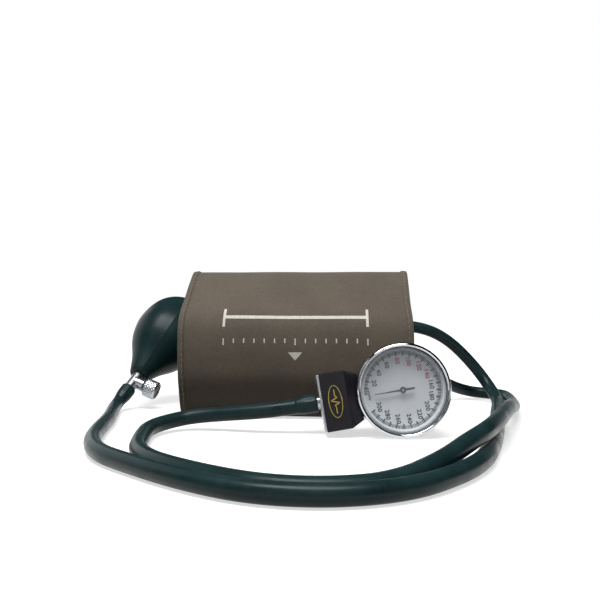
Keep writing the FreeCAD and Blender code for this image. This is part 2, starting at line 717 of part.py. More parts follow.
def build_movement():
    """Pressure capsule, plate with legs, bridge, pointer arbor with pinion, toothed sector and hairspring."""
    apart = value(SHAFTS_APART)
    fit = size("running_fit")
    arbor = size("arbor_radius")
    plate_top = value(PLATE_TOP)
    bridge_low = value(BRIDGE_LOW)
    bridge_top = value(BRIDGE_TOP)
    gear_low = value(GEAR_LOW)
    pillar_spots = (Vector(0, size("pillar_reach"), 0), Vector(0, -size("pillar_reach"), 0))

    disc = turned_body("plate_disc", [
        ("0", PLATE_LOW), ("dim.plate_radius", PLATE_LOW), ("dim.plate_radius", PLATE_TOP), ("0", PLATE_TOP),
    ])
    legs = []
    for index, angle in enumerate((30, 150, 270)):
        reach = "(dim.plate_radius - dim.pillar_radius - dim.leg_edge)"
        spot = ("%s * cos(%d)" % (reach, angle + 60), "%s * sin(%d)" % (reach, angle + 60), FLOOR)
        legs.append(rod("plate_leg_%d" % index, "dim.pillar_radius", PLATE_TOP + " - " + FLOOR, spot))
    solid = joined("plate_solid", [disc] + legs)
    holes = [rod("plate_hole_%d" % index, "dim.arbor_radius + dim.running_fit", "dim.plate_thickness",
                 ("0", formula, PLATE_LOW)) for index, formula in enumerate(("0", SHAFTS_APART))]
    keep(without("movement_plate", solid, holes), "movement_plate", GAUGE_PLACE)

    half = "dim.bridge_width / 2"
    reach = "dim.pillar_reach + dim.pillar_radius"
    bar = padded_body("bridge_bar", "XY_Plane", [
        ("-" + half, "-(%s)" % reach), (half, "-(%s)" % reach), (half, reach), ("-" + half, reach),
    ], "dim.plate_thickness", BRIDGE_LOW)
    holes = [rod("bridge_hole_%d" % index, "dim.arbor_radius + dim.running_fit", "dim.plate_thickness",
                 ("0", formula, BRIDGE_LOW)) for index, formula in enumerate(("0", SHAFTS_APART))]
    keep(without("movement_bridge", bar, holes), "movement_bridge", GAUGE_PLACE)

    pillars = []
    screws = []
    for spot in pillar_spots:
        foot = Vector(spot.x, spot.y, plate_top)
        pillars.append(Part.makeCylinder(size("pillar_radius"), bridge_low - plate_top, foot))
        screws.append(Part.makeCylinder(size("pillar_radius"), 0.5, Vector(spot.x, spot.y, bridge_top)))
    shaped("bridge_pillars", Part.makeCompound(pillars), GAUGE_PLACE)
    shaped("bridge_screws", Part.makeCompound(screws), GAUGE_PLACE)

    capsule_low = "(-dim.nipple_depth - dim.capsule_thickness / 2)"
    capsule_top = "(-dim.nipple_depth + dim.capsule_thickness / 2)"
    capsule = turned_body("capsule_blank", [
        ("0", FLOOR), ("4", FLOOR), ("4", capsule_low), ("dim.capsule_radius - 5", capsule_low),
        ("dim.capsule_radius - 3.5", capsule_low + " + 0.6"),
        ("dim.capsule_radius - 2", capsule_low + " + 0.4"), ("dim.capsule_radius", "-dim.nipple_depth"),
        ("dim.capsule_radius - 2", capsule_top + " - 0.4"),
        ("dim.capsule_radius - 3.5", capsule_top + " - 0.6"), ("dim.capsule_radius - 5", capsule_top),
        ("1.6", capsule_top), ("1.6", capsule_top + " + 0.9"), ("0", capsule_top + " + 0.9"),
    ])
    inlet = rod("capsule_inlet", "dim.nipple_stem + dim.press_gap", "dim.capsule_radius",
                ("0", "-dim.capsule_radius - 6", "-dim.nipple_depth"), "Y")
    keep(without("pressure_capsule", capsule, [inlet]), "pressure_capsule", GAUGE_PLACE)

    teeth = int(round(size("pinion_teeth")))
    tooth_pitch = 2 * math.pi * size("pinion_radius") / teeth
    pinion_angles = [math.pi / 2 + 2 * math.pi * index / teeth for index in range(teeth)]
    pinion = flat_solid(gear_ring(pinion_angles, size("pinion_radius"), tooth_pitch), gear_low,
                        size("gear_thickness"))
    shaft_low = value(PLATE_LOW)
    shaft = Part.makeCylinder(arbor, value(POINTER_LOW) + size("pointer_thickness") - shaft_low,
                              Vector(0, 0, shaft_low))
    coil_low = gear_low + size("gear_thickness") + HAIRSPRING_GAP
    collet = Part.makeCylinder(HAIRSPRING_INNER - fit, HAIRSPRING_WIDTH, Vector(0, 0, coil_low))
    shaped("pointer_arbor", pinion.fuse(shaft).fuse(collet).removeSplitter(), GAUGE_PLACE)

    wheel_radius = size("pinion_radius") * size("gear_ratio")
    step = tooth_pitch / wheel_radius
    swing = math.radians(size("scale_degrees")) / size("gear_ratio")
    first = -math.ceil((swing + 3 * step) / step)
    angles = [-math.pi / 2 + (index + 0.5) * step for index in range(first, 4)]
    rim = gear_ring(angles, wheel_radius, tooth_pitch)
    middle = (angles[0] + angles[-1]) / 2
    flank = Vector(-math.sin(middle), math.cos(middle), 0) * 1.3
    hub_end = Vector(math.cos(middle), math.sin(middle), 0) * -1.0
    blade = flat_solid(rim + [flank + hub_end, hub_end - flank], 0, size("gear_thickness"))
    blade.translate(Vector(0, apart, gear_low))
    sector_shaft = Part.makeCylinder(arbor, bridge_top - shaft_low, Vector(0, apart, shaft_low))
    shaped("sector_gear", blade.fuse(sector_shaft).removeSplitter(), GAUGE_PLACE)

    shaped("hairspring", hairspring(coil_low, bridge_low), GAUGE_PLACE)


HAIRSPRING_TURNS = 4
HAIRSPRING_INNER = 2.2
HAIRSPRING_STEP = 0.8
HAIRSPRING_STRIP = 0.15
HAIRSPRING_WIDTH = 0.6
HAIRSPRING_GAP = 0.25


def hairspring(low, bridge_low):
    """A flat spiral of half-turn arcs round the arbor, hung from the bridge by a stud at its outer end."""
    edges = {0: [], HAIRSPRING_STRIP: []}
    for half in range(2 * HAIRSPRING_TURNS):
        centre = Vector(0, (half % 2) * HAIRSPRING_STEP / 2, 0)
        sign = 1 if half % 2 == 0 else -1
        for offset, chain in edges.items():
            radius = HAIRSPRING_INNER + half * HAIRSPRING_STEP / 2 + offset
            ends = [centre + Vector(0, sign * radius, 0), centre + Vector(-sign * radius, 0, 0),
                    centre - Vector(0, sign * radius, 0)]
            chain.append(Part.Arc(*ends).toShape())
    inner, outer = edges.values()
    caps = [Part.makeLine(inner[0].Vertexes[0].Point, outer[0].Vertexes[0].Point),
            Part.makeLine(inner[-1].Vertexes[-1].Point, outer[-1].Vertexes[-1].Point)]
    outline = Part.Wire(Part.__sortEdges__(inner + outer + caps))
    strip = Part.Face(outline).extrude(Vector(0, 0, HAIRSPRING_WIDTH))
    strip.translate(Vector(0, 0, low))
    end = outer[-1].Vertexes[-1].Point
    stud = Part.makeCylinder(0.35, bridge_low - low, Vector(end.x, end.y, low))
    return strip.fuse(stud).removeSplitter()


def build_pointer():
    """The black hand with its ring hub, pressed on the arbor, pointing at zero by the gauge's neck."""
    low = value(POINTER_LOW)
    thick = size("pointer_thickness")
    half = 0.55
    tail = size("pointer_tail")
    tip = -size("pointer_length")
    blade = [Vector(-half, tail, 0), Vector(half, tail, 0), Vector(half, 0, 0), Vector(0.15, tip, 0),
             Vector(-0.15, tip, 0), Vector(-half, 0, 0)]
    hand = flat_solid(blade, low, thick)
    hand = hand.fuse(Part.makeCylinder(size("pointer_hub"), thick, Vector(0, 0, low)))
    bore = size("arbor_radius") + size("press_gap")
    hand = hand.cut(Part.makeCylinder(bore, 4 * thick, Vector(0, 0, low - thick)))
    shaped("pointer", hand.removeSplitter(), GAUGE_PLACE)


def build_gauge_neck():
    """Black neck block with an oval badge, chrome end plate, hose nipple and the clip on the back."""
    front = "-dim.neck_front"
    facet_end = "(-dim.neck_reach + dim.neck_facet)"
    slope_end = "(%s + dim.neck_slope)" % facet_end
    side_view = padded_body("neck_side", "YZ_Plane", [
        ("-dim.neck_reach", front), (facet_end, front), (slope_end, front + " - dim.neck_slope / 2"),
        (slope_end, BACK), ("-dim.neck_reach", BACK),
    ], "dim.neck_width")
    half = "dim.neck_width / 2"
    waist = "(dim.neck_width / 2 - dim.neck_taper)"
    front_view = padded_body("neck_face", "XY_Plane", [
        ("-" + half, "-dim.neck_reach"), (half, "-dim.neck_reach"), (half, facet_end), (waist, slope_end),
        ("-" + waist, slope_end), ("-" + half, facet_end),
    ], "2 * dim.case_depth", BACK + " - 1")
    block = doc.addObject("Part::MultiCommon", "neck_blank")
    block.Shapes = [side_view, front_view]
    case_room = rod("case_room", "dim.case_radius + dim.running_fit", "2 * dim.case_depth",
                    ("0", "0", BACK + " - 1"))
    bezel_room = rod("bezel_room", "dim.bezel_radius + 0.2", "2 * dim.bezel_depth",
                     ("0", "0", "-dim.bezel_depth - 0.2"))
    stem_way = rod("neck_way", "dim.nipple_stem + dim.press_gap", "dim.neck_reach",
                   ("0", "-dim.neck_reach - 1", "-dim.nipple_depth"), "Y")
    keep(without("neck_block", block, [case_room, bezel_room, stem_way]), "neck_block", GAUGE_PLACE)

    plate_end = "(-dim.neck_reach - dim.end_plate_thickness)"
    plate = padded_body("end_plate_blank", "YZ_Plane", [
        (plate_end, front + " - 0.4"), ("-dim.neck_reach", front + " - 0.4"),
        ("-dim.neck_reach", BACK + " + 0.4"), (plate_end, BACK + " + 0.4"),
    ], "dim.neck_width - 0.8")
    hole = rod("end_plate_hole", "dim.nipple_stem + dim.press_gap", "2 * dim.end_plate_thickness",
               ("0", plate_end + " - 0.3", "-dim.nipple_depth"), "Y")
    keep(without("end_plate", plate, [hole]), "end_plate", GAUGE_PLACE)

    badge = doc.addObject("Part::Feature", "badge")
    oval = Part.Ellipse(Vector(0, 0, 0), size("badge_length") / 2, size("badge_width") / 2).toShape()
    badge.Shape = Part.Face(Part.Wire([oval])).extrude(Vector(0, 0, size("badge_thickness")))
    middle = -size("neck_reach") + size("neck_facet") / 2
    keep(badge, "badge", GAUGE_PLACE * Placement(Vector(0, middle, -size("neck_front")), Rotation()))

    nipple = turned_body("nipple_blank", nipple_corners())
    keep(nipple, "hose_nipple", NIPPLE_PLACE)

    half_length = "dim.clip_length / 2"
    inner = "(%s - dim.clip_thickness)" % BACK
    outer = "(%s - dim.clip_gap)" % inner
    clip = padded_body("clip_blank", "YZ_Plane", [
        ("-4", BACK), (half_length, BACK), (half_length, outer + " - dim.clip_thickness"),
        ("-" + half_length, outer + " - dim.clip_thickness"), ("-" + half_length, outer),
        (half_length + " - dim.clip_thickness", outer), (half_length + " - dim.clip_thickness", inner),
        ("-4", inner),
    ], "dim.clip_width")
    keep(clip, "hanging_clip", GAUGE_PLACE)
    heads = [Part.makeCylinder(1.4, 0.7, Vector(0, y, value(inner) - 0.7)) for y in (0, size("rivet_pitch"))]
    shaped("clip_rivets", Part.makeCompound(heads), GAUGE_PLACE)


NIPPLE_PLACE = GAUGE_PLACE * Placement(
    Vector(0, -size("neck_reach") - size("end_plate_thickness"), -size("nipple_depth")),
    Rotation(Vector(1, 0, 0), 90))


def nipple_corners():
    """The nipple turned about its own axis: stem in the neck, flange on the end plate, ridged barb outside."""
    ridge = "dim.barb_radius + dim.barb_ridge"
    start = "dim.nipple_flange_length"
    step = "dim.barb_length / 3"
    end = start + " + dim.barb_length"
    stem_end = "-(dim.neck_reach + dim.end_plate_thickness - dim.capsule_radius - 0.5)"
    return [
        ("dim.valve_bore", stem_end), ("dim.nipple_stem", stem_end), ("dim.nipple_stem", "0"),
        ("dim.nipple_flange", "0"), ("dim.nipple_flange", start), ("dim.barb_radius", start),
        ("dim.barb_radius", start + " + " + step), (ridge, start + " + " + step),
        ("dim.barb_radius", start + " + 2 * " + step), (ridge, start + " + 2 * " + step),
        ("dim.barb_radius", end), ("dim.valve_bore", end),
    ]


# Tubes: straight runs and tangent arcs, with a wider sleeve where the rubber is stretched over a barb

ARC_SHARE = 0.45


def round_path(points, label):
    """Straight runs joined by the largest arcs that they leave room for."""
    edges = []
    radii = []
    last = points[0]
    for before, corner, after in zip(points, points[1:], points[2:]):
        come = corner - before
        go = after - corner
        turn = come.getAngle(go)
        room = 2 * go.Length if after is points[-1] else go.Length
        trim = ARC_SHARE * min(come.Length, room)
        radii.append(trim / math.tan(turn / 2))
        first = corner - come.normalize() * trim
        final = corner + go.normalize() * trim
        bisector = (first + final) * 0.5 - corner
        sagitta = radii[-1] / math.cos(turn / 2) - radii[-1]
        middle = corner + bisector.normalize() * sagitta
        edges.append(Part.makeLine(last, first))
        edges.append(Part.Arc(first, middle, final).toShape())
        last = final
    edges.append(Part.makeLine(last, points[-1]))
    wire = Part.Wire(edges)
    print(label, "length", round(wire.Length, 1), "least radius", round(min(radii), 1),
          "radii", [round(radius, 1) for radius in radii])
    return wire


def pipe(wire, radius, heading):
    """A round bar along a path."""
    circle = Part.Wire([Part.Circle(wire.OrderedVertexes[0].Point, heading, radius).toShape()])
    return wire.makePipeShell([circle], True, False)


def end_sleeve(bore, length):
    """The stretched end of a tube, along Z from its mouth; its far end narrows to the tube's own size."""
    outside = bore + size("sleeve_wall")
    taper = size("sleeve_taper")
    corners = [(bore, 0), (outside, 0), (outside, length), (TUBE_RADIUS, length + taper),
               (size("tube_bore") / 2, length + taper), (size("tube_bore") / 2, length), (bore, length)]
    loop = Part.makePolygon([Vector(radius, 0, height) for radius, height in corners + corners[:1]])
    return Part.Face(loop).revolve(Vector(0, 0, 0), Vector(0, 0, 1), 360)


def build_tube(label, exit_point, middle, mouth):
    """A tube from its port in the cuff to a barb; mouth is the barb's placement, Z along the tube."""
    port = Vector(PORT_END, exit_point.y, exit_point.z)
    clear = Vector(HALF_WIDTH + TUBE_RADIUS, exit_point.y, exit_point.z)
    ridge = size("barb_radius") + size("barb_ridge") + size("press_gap")
    length = size("barb_length")
    sleeve = end_sleeve(ridge, length)
    sleeve.Placement = mouth
    joint_at = mouth.multVec(Vector(0, 0, length + size("sleeve_taper")))
    lead = mouth.multVec(Vector(0, 0, length + size("sleeve_taper") + LEADS[label]))
    wire = round_path([port, clear] + [Vector(*point) for point in middle] + [lead, joint_at], label)
    heading = Vector(1, 0, 0)
    outer = pipe(wire, TUBE_RADIUS, heading)
    inner = pipe(wire, size("tube_bore") / 2, heading)
    tube = outer.cut(inner)
    expected = math.pi * (TUBE_RADIUS ** 2 - (size("tube_bore") / 2) ** 2) * wire.Length
    print(label, "volume over section times length", round(tube.Volume / expected, 4))
    shaped(label, tube.fuse(sleeve).removeSplitter())


LEADS = {"bulb_tube": 3.3, "gauge_tube": 16}

build_cuff()
build_bulb()
build_inlet_valve()
SCREW_PLACE = build_release_valve()
build_gauge_case()
build_movement()
build_pointer()
build_gauge_neck()
BULB_MOUTH = BULB_PLACE * Placement(Vector(0, 0, -size("collar_length")), Rotation(Vector(1, 0, 0), 180))
GAUGE_MOUTH = NIPPLE_PLACE * Placement(Vector(0, 0, size("nipple_flange_length")), Rotation())
build_tube("bulb_tube", BULB_TUBE_EXIT, BULB_TUBE_POINTS, BULB_MOUTH)
build_tube("gauge_tube", GAUGE_TUBE_EXIT, GAUGE_TUBE_POINTS, GAUGE_MOUTH)
doc.recompute()

for item in doc.Objects:
    if "Invalid" in item.State or "Error" in item.State:
        raise RuntimeError("%s did not build: %s" % (item.Label, item.State))
for part in PARTS:
    if part.Shape.isNull() or not part.Shape.isValid():
        raise RuntimeError("%s has no valid shape" % part.Label)

os.makedirs("parts", exist_ok=True)
for part in PARTS:
    part.Shape.exportStep(os.path.join("parts", part.Label + ".step"))

SECTOR_PLACE = GAUGE_PLACE * Placement(Vector(0, value(SHAFTS_APART), 0), Rotation())
AXES = {"gauge": GAUGE_PLACE, "sector": SECTOR_PLACE, "bulb": BULB_PLACE, "thumb screw": SCREW_PLACE}
for label, place in AXES.items():
    axis = place.Rotation.multVec(Vector(0, 0, 1))
    print(label, "at", [round(number, 4) for number in place.Base],
          "axis", [round(number, 6) for number in axis])
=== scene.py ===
"""A hand-pumped blood pressure monitor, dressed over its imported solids: wound arm cuff, two rubber tubes,
rubber bulb with release valve, and a dial gauge that stands on its rim.
"""
import math

import bpy
from mathutils import Matrix, Vector, noise


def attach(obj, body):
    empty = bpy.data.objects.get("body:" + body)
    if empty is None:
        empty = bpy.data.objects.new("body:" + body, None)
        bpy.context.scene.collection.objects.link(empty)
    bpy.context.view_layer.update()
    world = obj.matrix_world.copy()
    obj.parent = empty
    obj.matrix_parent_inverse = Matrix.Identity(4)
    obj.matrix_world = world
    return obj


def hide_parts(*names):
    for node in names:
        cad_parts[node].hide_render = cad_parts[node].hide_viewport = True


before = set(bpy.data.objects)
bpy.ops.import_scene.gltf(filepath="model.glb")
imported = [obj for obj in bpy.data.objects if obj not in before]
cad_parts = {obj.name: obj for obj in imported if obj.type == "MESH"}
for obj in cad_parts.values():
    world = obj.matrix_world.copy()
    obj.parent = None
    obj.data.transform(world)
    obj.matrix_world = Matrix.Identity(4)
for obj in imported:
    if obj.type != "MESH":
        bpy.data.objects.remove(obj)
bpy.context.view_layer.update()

# Outer cloth of the cuff
# One long strip of olive-brown cotton and polyester cloth, wound into a roll and held by hook tape.
# Its front has sunk, so it lies on the floor on a flat sole and its face hangs between two soft folds.

MM = 0.001
CLOTH = 1.0
WRAP_PITCH = 3.9
WRAP_END = 610
HALF_CUFF = 73.2
TAPE = 0.5
CORE_HEIGHT = 47.2
# half a turn in the end view, as arcs: the share of the half turn that each ends at, the first and last angle
# of its normal, its radius, and its centre from the core; brow, slope, shoulder, face, knee, shin, toe, sole
FRONT = [
    (0.0405, 90, 53, 8.98, 0.00, 34.82), (0.2993, 53, 49, 530.70, 313.98, -381.84),
    (0.3944, 49, 10, 20.02, -21.06, 3.57), (0.5546, 10, 6, 328.50, 282.74, -49.99),
    (0.6251, 6, -18, 24.09, -20.00, -18.17), (0.7212, -18, -24, 131.40, 82.05, 14.99),
    (0.7844, -24, -88, 8.10, -30.58, -35.16), (1.0, -88, -90, 884.45, 0.00, 840.65),
]
BACK = [(1.0, -90, -270, 43.80, 0.00, 0.00)]
# the outermost front is slack: it stands out over the face and falls in over the knee, at these shares of the
# half turn, by so many mm
SLACK = [(0.45, 1.5), (0.63, -1.7)]
SLACK_SPREAD = 0.14
# the cloth is uneven: it sags in patches and its edges wander, by so many mm over so many mm
SAG = 0.5
SAG_PATCH = 42
WANDER = 0.8
WANDER_PATCH = 30
# under the roll the layers are pressed flat: a gap over the floor, in mm, and a share of each layer's depth
FLOOR_GAP = 0.05
PRESSED = 0.03


def on_wrap(degrees, out, x):
    """The point of the wound strip this far along it, 180 to half a turn, and so many mm out of its face."""
    half = min(int(degrees // 180), 3)
    share = degrees / 180 - half
    before = 0
    for after, first, last, radius, y, z in (FRONT, BACK)[half % 2]:
        if share <= after:
            break
        before = after
    turn = math.radians(first + (share - before) / (after - before) * (last - first))
    core = Vector((x, y - math.cos(turn) * radius, z + math.sin(turn) * radius))
    sag = SAG * noise.noise(core / SAG_PATCH)
    wander = WANDER * noise.noise(Vector((x / HALF_CUFF, core.y / WANDER_PATCH, core.z / WANDER_PATCH)))
    slack = sum(rise * math.exp(-((share - middle) / SLACK_SPREAD) ** 2) for middle, rise in SLACK)
    reach = half * WRAP_PITCH / 2 + out + sag + (slack if half == 2 else 0)
    height = CORE_HEIGHT + half % 2 * WRAP_PITCH / 2 + core.z + math.sin(turn) * reach
    height = max(height, FLOOR_GAP + PRESSED * out)
    return Vector((x + wander * x / HALF_CUFF, core.y - math.cos(turn) * reach, height)) * MM


def linear(code):
    """An sRGB hex colour as the linear RGBA that shaders take."""
    parts = [int(code[place:place + 2], 16) / 255 for place in (1, 3, 5)]
    return [part / 12.92 if part <= 0.04045 else ((part + 0.055) / 1.055) ** 2.4 for part in parts] + [1.0]


def add(material, kind, inputs, **settings):
    """Adds a node to a material or a world; an input is a value or another node's output."""
    made = material.node_tree.nodes.new(kind)
    for name, setting in settings.items():
        setattr(made, name, setting)
    for socket, source in inputs.items():
        if isinstance(source, bpy.types.NodeSocket):
            material.node_tree.links.new(source, made.inputs[socket])
        else:
            made.inputs[socket].default_value = source
    return made


def surface(name, **values):
    """A new material whose shader has the given plain values; returns it with its shader."""
    material = bpy.data.materials.new(name)
    material.use_nodes = True
    shader = material.node_tree.nodes["Principled BSDF"]
    for socket, number in values.items():
        shader.inputs[socket.replace("_", " ")].default_value = number
    return material, shader


def mesh_piece(name, points, faces, material, body="monitor", cut=None):
    """A smooth piece that rides on a body, its points in metres; cut is where cloth lay when cut, in mm."""
    mesh = bpy.data.meshes.new(name)
    mesh.from_pydata([tuple(point) for point in points], [], faces)
    if cut:
        laid = mesh.uv_layers.new(name="cut")
        for corner in mesh.loops:
            laid.data[corner.index].uv = cut[corner.vertex_index]
    mesh.validate()
    mesh.materials.append(material)
    mesh.polygons.foreach_set("use_smooth", [True] * len(mesh.polygons))
    made = bpy.data.objects.new(name, mesh)
    bpy.context.scene.collection.objects.link(made)
    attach(made, body)
    return made


# a step along the wrap is about so many degrees of bend or mm of length, whichever is shorter, and a stop
# nearer to an end than the least, in degrees of the wrap, is left out
STEP_BEND = 6
STEP_LENGTH = 3
STEP_LEAST = 0.2


def wrap_stops(first, last):
    """Places along the wrap, closer together where it bends sharply."""
    stops = []
    for half in range(4):
        before = 0
        for after, start, end, radius, y, z in (FRONT, BACK)[half % 2]:
            turn = start - end
            steps = max(round(turn / STEP_BEND), round(math.radians(turn) * radius / STEP_LENGTH), 1)
            stops += [180 * (half + before + (after - before) * step / steps) for step in range(1, steps + 1)]
            before = after
    return [first] + [stop for stop in stops if first + STEP_LEAST < stop < last - STEP_LEAST] + [last]


def ring_faces(first, rings, count):
    """The faces between rings of so many points each, counted from a first point."""
    faces = []
    for here in range(first, first + (rings - 1) * count, count):
        for place in range(count):
            after = (place + 1) % count
            faces.append((here + place, here + after, here + count + after, here + count + place))
    return faces


# mm of cloth to a degree of the wrap, about
THREAD_RUN = 0.84


def wound_strip(name, first, last, section, material):
    """A closed strip along the wrap; section gives its loop of (x, out) points at a place."""
    stops = wrap_stops(first, last)
    points = []
    cut = []
    for degrees in stops:
        loop = section(degrees)
        points += [on_wrap(degrees, out, x) for x, out in loop]
        cut += [(x + out, degrees * THREAD_RUN) for x, out in loop]
    count = len(loop)
    ends = [range(count)[::-1], range(len(points) - count, len(points))]
    faces = ring_faces(0, len(stops), count) + [tuple(end) for end in ends]
    return mesh_piece(name, points, faces, material, cut=cut)


def flat_loop(half_width, low, high, columns=40):
    """The loop round a flat strip with round edges."""
    edge = (high - low) / 2
    middle = (high + low) / 2
    inside = half_width - edge
    across = [inside * (2 * place / columns - 1) for place in range(columns + 1)]
    slant = 0.7 * edge
    right = [(inside + slant, middle + slant), (half_width, middle), (inside + slant, middle - slant)]
    left = [(-x, out) for x, out in reversed(right)]
    return [(x, high) for x in across] + right + [(x, low) for x in reversed(across)] + left


# plain-woven cotton and polyester, dyed olive-brown: matt, finely speckled where warp and weft cross, with a
# soft fuzz; threads of 0.5 mm are too fine for the picture, so they are drawn 1.1 mm apart
cuff_weave, shader = surface("olive_cotton_weave", Roughness=0.85, Sheen_Weight=0.12, Sheen_Roughness=0.5)
place = add(cuff_weave, "ShaderNodeTexCoord", {})
# a wave texture's phase is twenty times its place
threads = {"Vector": place.outputs["UV"], "Scale": 2 * math.pi / 20 / 1.1, "Distortion": 1.2, "Detail": 2.0,
           "Detail Scale": 1.5}
warp = add(cuff_weave, "ShaderNodeTexWave", threads, bands_direction="X")
weft = add(cuff_weave, "ShaderNodeTexWave", threads, bands_direction="Y")
slubs = add(cuff_weave, "ShaderNodeTexNoise", {"Vector": place.outputs["Object"], "Scale": 1 / (1.6 * MM),
            "Detail": 3.0, "Roughness": 0.65})
worn = add(cuff_weave, "ShaderNodeTexNoise", {"Vector": place.outputs["Object"], "Scale": 1 / (30 * MM),
           "Detail": 5.0, "Roughness": 0.6})
crossings = add(cuff_weave, "ShaderNodeMath", {0: warp.outputs["Fac"], 1: weft.outputs["Fac"]},
                operation="MULTIPLY")
grain = add(cuff_weave, "ShaderNodeMath", {0: crossings.outputs["Value"], 1: 0.28, 2: slubs.outputs["Fac"]},
            operation="MULTIPLY_ADD")
tint = add(cuff_weave, "ShaderNodeValToRGB", {"Fac": worn.outputs["Fac"]})
tint.color_ramp.elements[0].position = 0.3
tint.color_ramp.elements[0].color = linear("#564d42")
tint.color_ramp.elements[1].position = 0.72
tint.color_ramp.elements[1].color = linear("#61574b")
flecks = add(cuff_weave, "ShaderNodeMapRange", {"Value": grain.outputs["Value"], "From Min": 0.3,
             "From Max": 0.95, "To Min": 0.80, "To Max": 1.18})
cloth_colour = add(cuff_weave, "ShaderNodeVectorMath", {0: tint.outputs["Color"],
                   "Scale": flecks.outputs["Result"]}, operation="SCALE")
relief = add(cuff_weave, "ShaderNodeBump", {"Height": grain.outputs["Value"], "Strength": 0.3,
             "Distance": 0.2 * MM})
cuff_weave.node_tree.links.new(cloth_colour.outputs["Vector"], shader.inputs["Base Color"])
cuff_weave.node_tree.links.new(relief.outputs["Normal"], shader.inputs["Normal"])

TURNED_IN = 11
FOLD_RISE = 0.45


def outer_loop(degrees):
    """The outer cloth; its last turned-in centimetre is thicker."""
    folded = FOLD_RISE if degrees > WRAP_END - TURNED_IN else 0.0
    return flat_loop(HALF_CUFF - TAPE, -CLOTH, folded)


outer_cloth = wound_strip("cuff_outer_cloth_wound", 0, WRAP_END, outer_loop, cuff_weave)
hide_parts("cuff_outer_cloth")

# Lining and tapes inside the wrap
# The lining is the same cloth, sewn on to make the bladder's pocket. Nylon hook tape under the flap's end
# grips the loop tape of the turn below.

# the pocket's depth, where along the wrap it ends, and over how many degrees it closes
POCKET_DEPTH = 4.4
POCKET_END = 310
POCKET_SLOPE = 3
LINING = 0.98 * CLOTH


def lining_depth(degrees):
    """How deep the lining's inner face lies under the outer face: the pocket, then cloth on cloth."""
    share = min(max((degrees - POCKET_END) / POCKET_SLOPE, 0), 1)
    return -POCKET_DEPTH + share * (POCKET_DEPTH - 2 * CLOTH)


def lining_loop(degrees):
    """The lining's cloth at its own depth."""
    inner = lining_depth(degrees)
    return flat_loop(HALF_CUFF - TAPE, inner, inner + LINING)


lining = wound_strip("cuff_lining_wound", 0, WRAP_END, lining_loop, cuff_weave)
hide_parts("cuff_lining")

# looped and hooked nylon pile: dark, matt and felted, with tufts of about a millimetre
nylon_pile, shader = surface("nylon_pile", Roughness=0.95, Sheen_Weight=0.3)
place = add(nylon_pile, "ShaderNodeTexCoord", {})
tufts = add(nylon_pile, "ShaderNodeTexVoronoi", {"Vector": place.outputs["Object"], "Scale": 1 / (1.1 * MM)})
shade = add(nylon_pile, "ShaderNodeValToRGB", {"Fac": tufts.outputs["Distance"]})
shade.color_ramp.elements[0].color = linear("#4a443a")
shade.color_ramp.elements[1].color = linear("#26231e")
relief = add(nylon_pile, "ShaderNodeBump", {"Height": tufts.outputs["Distance"], "Strength": 0.6,
             "Distance": 0.4 * MM})
nylon_pile.node_tree.links.new(shade.outputs["Color"], shader.inputs["Base Color"])
nylon_pile.node_tree.links.new(relief.outputs["Normal"], shader.inputs["Normal"])

PATCH_DEGREES = 78
PATCH_END = WRAP_END - 1
PATCH_HALF_WIDTH = 55
PATCH = 0.9
SEWN_GAP = 0.02
ONE_TURN = 360
hook_loop = flat_loop(PATCH_HALF_WIDTH, -2 * CLOTH - PATCH, -2 * CLOTH - SEWN_GAP)
hook_tape = wound_strip("hook_patch_pile", WRAP_END - PATCH_DEGREES, PATCH_END, lambda degrees: hook_loop,
                        nylon_pile)
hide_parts("hook_patch")
pile_loop = flat_loop(PATCH_HALF_WIDTH, SEWN_GAP, PATCH)
loop_tape = wound_strip("loop_patch_pile", WRAP_END - PATCH_DEGREES - ONE_TURN, PATCH_END - ONE_TURN,
                        lambda degrees: pile_loop, nylon_pile)
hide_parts("loop_patch")

# Tube tunnels
# At the cuff's right end each tube lies in a short tunnel of lining cloth, which arches over it and is sewn
# to the lining along both its feet.

# where the bladder's two ports lie, as (y, z)
BULB_PORT = (39.37, 57.518)
GAUGE_PORT = (32.971, 26.064)
TUNNEL_FROM = 50
TUNNEL_LENGTH = 22.4
TUNNEL_OUTER = 5.4
TUNNEL_INNER = 4.5
TUNNEL_SPREAD = 118
PUCKER = 0.25


def tunnel_arch(name, y, z):
    """An arch of cloth round a tube, open towards the pocket, along the last centimetres of the cuff."""
    inward = math.atan2(CORE_HEIGHT - z, -y)
    steps = 28
    spreads = [math.radians(-TUNNEL_SPREAD + 2 * TUNNEL_SPREAD * step / steps) for step in range(steps + 1)]
    loop = [(TUNNEL_OUTER, spread) for spread in spreads]
    loop += [(TUNNEL_INNER, spread) for spread in reversed(spreads)]
    points = []
    cut = []
    steps = 16
    rows = [TUNNEL_FROM + TUNNEL_LENGTH * step / steps for step in range(steps + 1)]
    for x in rows:
        for radius, spread in loop:
            reach = radius + PUCKER * noise.noise(Vector((x / 7, 3 * spread, y)))
            turn = inward + spread
            points.append(Vector((x, y + reach * math.cos(turn), z + reach * math.sin(turn))) * MM)
            cut.append((x + radius, 5 * spread))
    count = len(loop)
    ends = [range(count)[::-1], range(len(points) - count, len(points))]
    faces = ring_faces(0, len(rows), count) + [tuple(end) for end in ends]
    return mesh_piece(name, points, faces, cuff_weave, cut=cut)


tunnels = [tunnel_arch("bulb_tube_tunnel", *BULB_PORT), tunnel_arch("gauge_tube_tunnel", *GAUGE_PORT)]

# Edge hems
# Both long edges are bound with a folded strip of the cuff's own cloth, 4 mm wide on each face, and sewn
# through with one row of lockstitch in thread of the same colour.

HEM = 4.0
HEM_CREST = TAPE + 0.12


